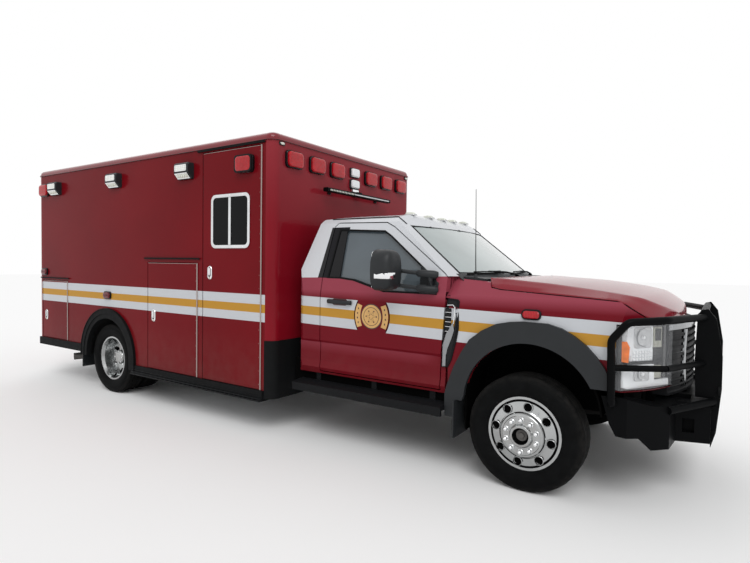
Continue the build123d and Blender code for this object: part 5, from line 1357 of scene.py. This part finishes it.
def hood():
    """The hood with its flat crown, the crease along each side and its folded edge; painted above, dark below."""
    shape = Shape("hood_paint")
    over = [shape.row(hood_section(row)) for row in HOOD_ROWS]
    under = [shape.row([(x - (10 if x > 800 else 0), y, z) for x, y, z in hood_section(row, 14, 12)])
             for row in HOOD_ROWS]
    shape.take(shape.skin(over, closed=False))
    shape.take(shape.skin([row[::-1] for row in under], closed=False), "trim_black")
    for upper, lower in ((over[0], under[0]), (over[-1][::-1], under[-1][::-1]),
                         ([row[-1] for row in over], [row[-1] for row in under]),
                         ([row[0] for row in over[::-1]], [row[0] for row in under[::-1]])):
        shape.take(shape.skin([upper, lower], closed=False))
    bmesh.ops.recalc_face_normals(shape.bm, faces=shape.bm.faces)
    for s in (-1, 1):
        for x, z in (((-352, -292), (1426, 1450)), ((-320, -292), (1440, 1466))):
            shape.slab(x, (s * 640, s * 700), z, ease=3, finish="trim_black")
        shape.rod([(-352, s * 640, 1432), (-352, s * 700, 1432)], 10, sides=14, finish="trim_black")
    shape.rod([(560, -700, 1352), (560, 700, 1352)], 12, sides=8, finish="trim_black")
    shape.turn((840, 0, 1236), (0, 0, -1), [(0, 10), (34, 10), (38, 6), (38, 0)], 12, finish="trim_black")
    shape.done("hood_form", "hood", "red_paint", ["hood"], sharp=50)


def cab():
    for side, s in SIDES:
        door_trim(side, s)
        mirror(side, s)
    for build in (fender_trim, screen_trim, headlamps, grille, guard_trim, arch_linings, hood):
        build()


cab()


# Wheels

REST_TURN = math.radians(-13)
FRONT_TYRE_Y = 950
REAR_TYRES_Y = (1068, 812)
SIDEWALL = [(-84, 253), (-96, 264), (-106, 282), (-112.4, 318), (-112.8, 338), (-109, 366), (-106, 368),
            (-104.5, 380), (-101, 389), (-92, 399.5), (-82, 404)]
TREAD_RIBS = ((-72, -42), (-36, -13), (-7, 7), (13, 36), (42, 72))
RIM_LIP = [(79, 246), (86, 257), (88.4, 262), (86, 264.5), (80, 262)]
HUB_RING = [(-1, 147), (5, 146), (9, 141), (10, 136), (15, 132), (16, 84), (20, 80), (33, 76), (38, 71), (39, 58),
            (34, 57.3), (4, 57.3)]
AXLE_FLANGE = [(20, 96), (96, 86), (130, 84), (138, 78), (141, 62), (150.4, 60), (152, 52), (152, 0)]


def tyre(shape, x, y):
    """A ribbed highway tyre: sidewall steps, a scuff rib and four grooves round the tread."""
    tread = []
    for start, end in TREAD_RIBS:
        tread += [(start + 0.1, 391), (start + 2.4, 404.6), (end - 2.4, 404.8), (end - 0.1, 391)]
    other = [(-a, r) for a, r in reversed(SIDEWALL)]
    shape.turn((x, y, HUB_Z), (0, 1, 0), SIDEWALL + [(-78, 404)] + tread + [(78, 404)] + other, 40)


def tyres():
    for side, s in SIDES:
        for end, wheel, x, places in (("front_tyre", "front_wheel", 0, (FRONT_TYRE_Y,)),
                                      ("rear_tyre", "rear_wheels", -WHEELBASE, REAR_TYRES_Y)):
            shape = Shape("tyre_" + end[:-5])
            for y in places:
                tyre(shape, x, s * y)
            node = end + ("s_" if len(places) > 1 else "_") + side
            shape.done(f"{end}_tread_{side}", f"{wheel}_{side}", "tyre_rubber", [node], sharp=50)


def circle_of(x, y, radius, count, turn=0.0):
    angles = [math.tau * k / count + turn for k in range(count)]
    return [(x + radius * math.cos(angle), y, HUB_Z + radius * math.sin(angle)) for angle in angles]


def lug_nuts(shape, x, y, out, radius):
    """Ten long flanged nuts with crowned ends."""
    nut = [(0, 17), (5, 17), (7, 14.5), (30, 14.5), (36, 11), (39, 5), (39.5, 0)]
    for spot in circle_of(x, y, radius, 10, 0.31):
        shape.turn(spot, (0, out, 0), nut, 12, finish="chrome")


def front_rim(side, s):
    """The forged wheel turned to where it stands in the photograph."""
    mesh = cad[f"front_rim_{side}"].data.copy()
    hub = Matrix.Translation(point(0, s * FRONT_TYRE_Y, HUB_Z))
    mesh.transform(hub @ Matrix.Rotation(REST_TURN, 4, "Y") @ hub.inverted())
    joined(placed(f"forged_wheel_{side}", mesh), f"front_wheel_{side}", "polished_wheel", f"front_rim_{side}")


def front_hub(side, s):
    """The stepped hub ring with its nuts and dark bore, the holes' rolled edges, a black ring behind the holes as
    painted shade, and the valve.
    """
    shape = Shape("wheel_front")
    face = s * 1078
    out = (0, s, 0)
    centre = (0, face, HUB_Z)
    shape.turn(centre, out, HUB_RING, 64)
    shape.turn(centre, out, [(4, 57.2), (0.6, 50), (0.6, 0)], 40, finish="arch_black")
    shape.turn(centre, out, [(1, 40), (6, 38), (6, 22), (14, 19), (14, 0)], 24, finish="cast_metal")
    lug_nuts(shape, 0, face + s * 15, s, 110)
    for spot in circle_of(0, face - s * 18, 196, 8, math.pi / 8 - REST_TURN):
        shape.turn(spot, out, [(-13, 28.4), (-2, 28.2), (1.4, 29.2), (1.8, 31), (-1, 33.5)], 20)
    # A flat black ring behind the wheel's holes: painted shade for what shows through them.
    shape.turn(centre, out, [(-40, 152), (-40, 236), (-44, 236), (-44, 152)], 40,
               finish="arch_black", closed=True)
    valve = [(r * math.cos(1.0), face + s * rise, HUB_Z + r * math.sin(1.0)) for r, rise in ((196, -22), (192, 6))]
    shape.rod(valve, 4.5, sides=8, finish="bright_metal")
    shape.turn((0, s * FRONT_TYRE_Y, HUB_Z), out, RIM_LIP, 56)
    shape.done(f"front_hub_{side}", f"front_wheel_{side}", "polished_wheel", sharp=35)


def rear_hub(side, s):
    """The axle flange, its bolts and nuts, deep in the outer rear wheel."""
    shape = Shape("wheel_rear")
    x, face, out = -WHEELBASE, s * 940, (0, s, 0)
    shape.turn((x, face, HUB_Z), out, [(16, 146), (18, 144), (20, 100), (24, 96)], 48)
    lug_nuts(shape, x, face + s * 16, s, 122)
    shape.turn((x, face, HUB_Z), out, AXLE_FLANGE, 40)
    for spot in circle_of(x, face + s * 140, 70, 8):
        shape.turn(spot, out, [(0, 8.5), (7, 8.5), (8, 7), (8, 0)], 6, finish="bright_metal")
    shape.turn((x, s * REAR_TYRES_Y[0], HUB_Z), out, RIM_LIP, 56)
    shape.done(f"rear_hub_{side}", f"rear_wheels_{side}", "polished_wheel", sharp=35)


def wheels():
    tyres()
    for side, s in SIDES:
        front_rim(side, s)
        front_hub(side, s)
        rear_hub(side, s)


wheels()


# Seats and steering wheel

VOXEL = 0.011
PRESSURE = 4.0
SWELL_STEPS = 12
SEAT_Y = 420
SEAT_LEAN = Vector((-158, 0, 500)).normalized()
SEAT_OUT = Vector((0.953, 0, 0.301))


def evaluated(piece):
    return piece.evaluated_get(bpy.context.evaluated_depsgraph_get())


def pad_block(name, rings, cap):
    """A cushion: a closed form through its rings, swelled by cloth pressure, with the swell held to a cap."""
    form = Shape("seat_cloth")
    form.loft(rings)
    mesh = bpy.data.meshes.new(name)
    form.bm.to_mesh(mesh)
    form.bm.free()
    piece = placed(name, mesh)
    remesh = piece.modifiers.new("remesh", "REMESH")
    remesh.mode = "VOXEL"
    remesh.voxel_size = VOXEL
    mesh = bpy.data.meshes.new_from_object(evaluated(piece))
    piece.modifiers.clear()
    piece.data = mesh
    rest = [vert.co.copy() for vert in mesh.vertices]
    cloth = piece.modifiers.new("cloth", "CLOTH")
    cloth.settings.use_pressure = True
    cloth.settings.uniform_pressure_force = PRESSURE
    cloth.settings.effector_weights.gravity = 0.0
    cloth.settings.quality = 4
    cloth.collision_settings.use_collision = False
    scene = bpy.context.scene
    for step in range(SWELL_STEPS):
        scene.frame_set(step + 1)
    moved = [vert.co.copy() for vert in evaluated(piece).data.vertices]
    piece.modifiers.clear()
    scene.frame_set(1)
    for vert, start, end in zip(mesh.vertices, rest, moved):
        shift = end - start
        if shift.length > cap / 1000:
            shift = shift.normalized() * cap / 1000
        vert.co = start + shift
    mesh.polygons.foreach_set("use_smooth", [True] * len(mesh.polygons))
    mesh.materials.clear()
    mesh.materials.append(FINISH["seat_cloth"])
    return piece


def seat_rings(place, x, z, corner, tightest, levels):
    """Rings of a rounded outline at several levels; each level is (thickness, drawn in)."""
    rings = []
    for thick, inset in levels:
        line = rounded((x[0] + inset, x[1] - inset), (z[0] + inset, z[1] - inset), max(corner - inset, tightest), 4)
        rings.append([place(a, b, thick) for a, b in line])
    return rings


def on_back(x, z):
    """Draws on the leaning back of a seat, from a spot at its foot."""
    return lambda a, b, thick: tuple(Vector((x, a, z)) + SEAT_LEAN * b + SEAT_OUT * thick)


def seats():
    """Each seat: a cushion, a back and a head rest in cloth on a dark pedestal."""
    parts = (
        ("seat_cushion", 14, lambda a, b, thick: (a, b, thick), (-1656, -1168), (178, 662), 70, 30,
         ((1040, 26), (1050, 12), (1075, 8), (1115, 8), (1140, 14), (1150, 30))),
        ("seat_back", 14, on_back(-1672, 1166), (188, 652), (0, 500), 70, 30,
         ((-4, 26), (4, 12), (22, 8), (46, 8), (58, 16), (64, 34))),
        ("head_rest", 8, on_back(-1826, 1682), (298, 542), (0, 156), 56, 24,
         ((2, 24), (8, 10), (24, 6), (42, 10), (50, 24))),
    )
    pieces = []
    for name, cap, *form in parts:
        near = pad_block(name + "_left", seat_rings(*form), cap)
        mesh = near.data.copy()
        mesh.transform(Matrix.Translation((0, -2 * SEAT_Y / 1000, 0)))
        pieces += [near, placed(name + "_right", mesh)]
    stand = Shape("black_plastic")
    back = [(-1700, 1110), (-1682, 1110), (-1684, 1170), (-1836, 1650), (-1846, 1655), (-1858, 1640), (-1712, 1170)]
    for y in (-SEAT_Y, SEAT_Y):
        stand.slab((-1630, -1190), (y - 190, y + 190), (895, 1032), ease=14)
        stand.slab((-1660, -1172), (y - 236, y + 236), (1026, 1042), ease=6)
        stand.outline(back, y - 222, y + 222, ease=5)
        for s in (-1, 1):
            stand.rod([(-1790, y + s * 60, 1640), (-1822, y + s * 60, 1712)], 7, sides=8, finish="cast_metal")
            piping = [(-1190, 1157), (-1300, 1163), (-1500, 1163), (-1630, 1156)]
            stand.rod([(x, y + s * 96, z) for x, z in piping], 3, sides=6, finish="seat_cloth")
            stand.slab((-1680, -1420), (y + s * 246, y + s * 262), (1010, 1090), ease=6)
    stand.done("seat_frames", ROOT, "black_trim", ["seats"], sharp=45)
    for piece in pieces:
        joined(piece, ROOT, "seat_cloth", "seats")


def steering():
    """The wheel's rim, its spokes and pad, the column with its stalks and the dials' hood."""
    shape = Shape("black_plastic")
    axis = Vector((-0.94, 0, 0.34)).normalized()
    side = Vector((0, 1, 0))
    up = side.cross(axis)
    centre = Vector((-1062, 400, 1347))

    def at(a, b, out=0.0):
        return tuple(centre + side * a + up * b + axis * out)

    shape.rod([at(a, b) for a, b in arc(0, 0, 183, 0, 360, 37)], 15, sides=10, finish="rubber")
    for a, b in ((-168, 6), (168, 6), (0, -168)):
        shape.rod([at(a * 0.32, b * 0.32 - 4, -4), at(a, b, -2)], (24, 14), sides=8, flat=0.5)
    pad = rounded((-76, 76), (-66, 62), 34)
    shape.loft([[at(a * k, b * k, out) for a, b in pad] for out, k in ((-22, 0.86), (-6, 1), (10, 0.96), (16, 0.8))])
    for s in (1, -1):
        shape.rod([at(s * 20, 20, -60), at(s * 200, 46, -70)], (9, 7), sides=8)
    dials = rounded((-190, 190), (-20, 54), 34)
    shape.loft([[(x, 400 + a * k, z + b * k) for a, b in dials]
                for x, z, k in ((-800, 1400, 1), (-900, 1378, 0.98), (-934, 1366, 0.88))])
    shape.slab((-915, -880), (-140, 140), (1240, 1352), ease=10, finish="black_gloss")
    for y in (-640, -250, 250, 700):
        shape.outline(rounded((y - 62, y + 62), (1290, 1340), 14), -934, -915, axis="x", finish="black_gloss")
    shape.done("steering_and_dials", ROOT, "black_trim", sharp=45)


seats()
steering()


# Floor, light and camera


def lay_floor():
    """A wide pale floor with no gloss."""
    disc = bmesh.new()
    bmesh.ops.create_circle(disc, cap_ends=True, segments=96, radius=60)
    mesh = bpy.data.meshes.new("floor")
    disc.to_mesh(mesh)
    disc.free()
    pale = bpy.data.materials.new("floor_pale")
    pale.use_nodes = True
    shader = pale.node_tree.nodes["Principled BSDF"]
    shader.inputs["Base Color"].default_value = (0.96, 0.96, 0.96, 1)
    shader.inputs["Roughness"].default_value = 1.0
    shader.inputs["Specular IOR Level"].default_value = 0.0
    mesh.materials.append(pale)
    placed("floor", mesh)


def light_room():
    """An even white sky that looks brighter than it lights, and two soft suns."""
    world = bpy.data.worlds.new("world")
    bpy.context.scene.world = world
    world.use_nodes = True
    tree = world.node_tree
    tree.nodes.clear()
    output, blend, lit, shown, rays, most, all_three = (
        tree.nodes.new("ShaderNode" + kind)
        for kind in ("OutputWorld", "MixShader", "Background", "Background", "LightPath", "Math", "Math"))
    for sky, strength in ((lit, 0.62), (shown, 1.0)):
        sky.inputs["Color"].default_value = (1, 1, 1, 1)
        sky.inputs["Strength"].default_value = strength
    most.operation = all_three.operation = "MAXIMUM"
    for source, target in (
            (rays.outputs["Is Camera Ray"], most.inputs[0]), (rays.outputs["Is Glossy Ray"], most.inputs[1]),
            (most.outputs[0], all_three.inputs[0]), (rays.outputs["Is Transmission Ray"], all_three.inputs[1]),
            (all_three.outputs[0], blend.inputs[0]), (lit.outputs[0], blend.inputs[1]),
            (shown.outputs[0], blend.inputs[2]), (blend.outputs[0], output.inputs[0])):
        tree.links.new(source, target)
    for name, direction, power, spread in (("key", (-0.55, 0.75, -0.95), 1.25, 35),
                                           ("fill", (0.6, -0.5, -0.8), 0.40, 60)):
        lamp = bpy.data.lights.new(name, "SUN")
        lamp.energy = power
        lamp.angle = math.radians(spread)
        sun = placed(name, lamp)
        sun.rotation_mode = "QUATERNION"
        sun.rotation_quaternion = Vector(direction).to_track_quat("-Z", "Y")


def set_camera():
    """The photograph's camera: low at the right front corner."""
    yaw, pitch, roll = math.radians(33.55), math.radians(-1.86), math.radians(0.83)
    forward = Vector((-math.sin(yaw) * math.cos(pitch), math.cos(yaw) * math.cos(pitch), math.sin(pitch)))
    level = Vector((math.cos(yaw), math.sin(yaw), 0))
    above = level.cross(forward)
    right = math.cos(roll) * level + math.sin(roll) * above
    up = math.cos(roll) * above - math.sin(roll) * level
    lens = bpy.data.cameras.new("camera")
    lens.lens = 25.21
    lens.sensor_width = 36
    lens.clip_start = 0.05
    lens.clip_end = 200
    camera = placed("camera", lens)
    turned = Matrix((right, up, -forward)).transposed().to_4x4()
    camera.matrix_world = Matrix.Translation((3.98585, -4.61651, 1.56135)) @ turned
    bpy.context.scene.camera = camera


lay_floor()
light_room()
set_camera()
bpy.context.scene.view_settings.view_transform = "Standard"
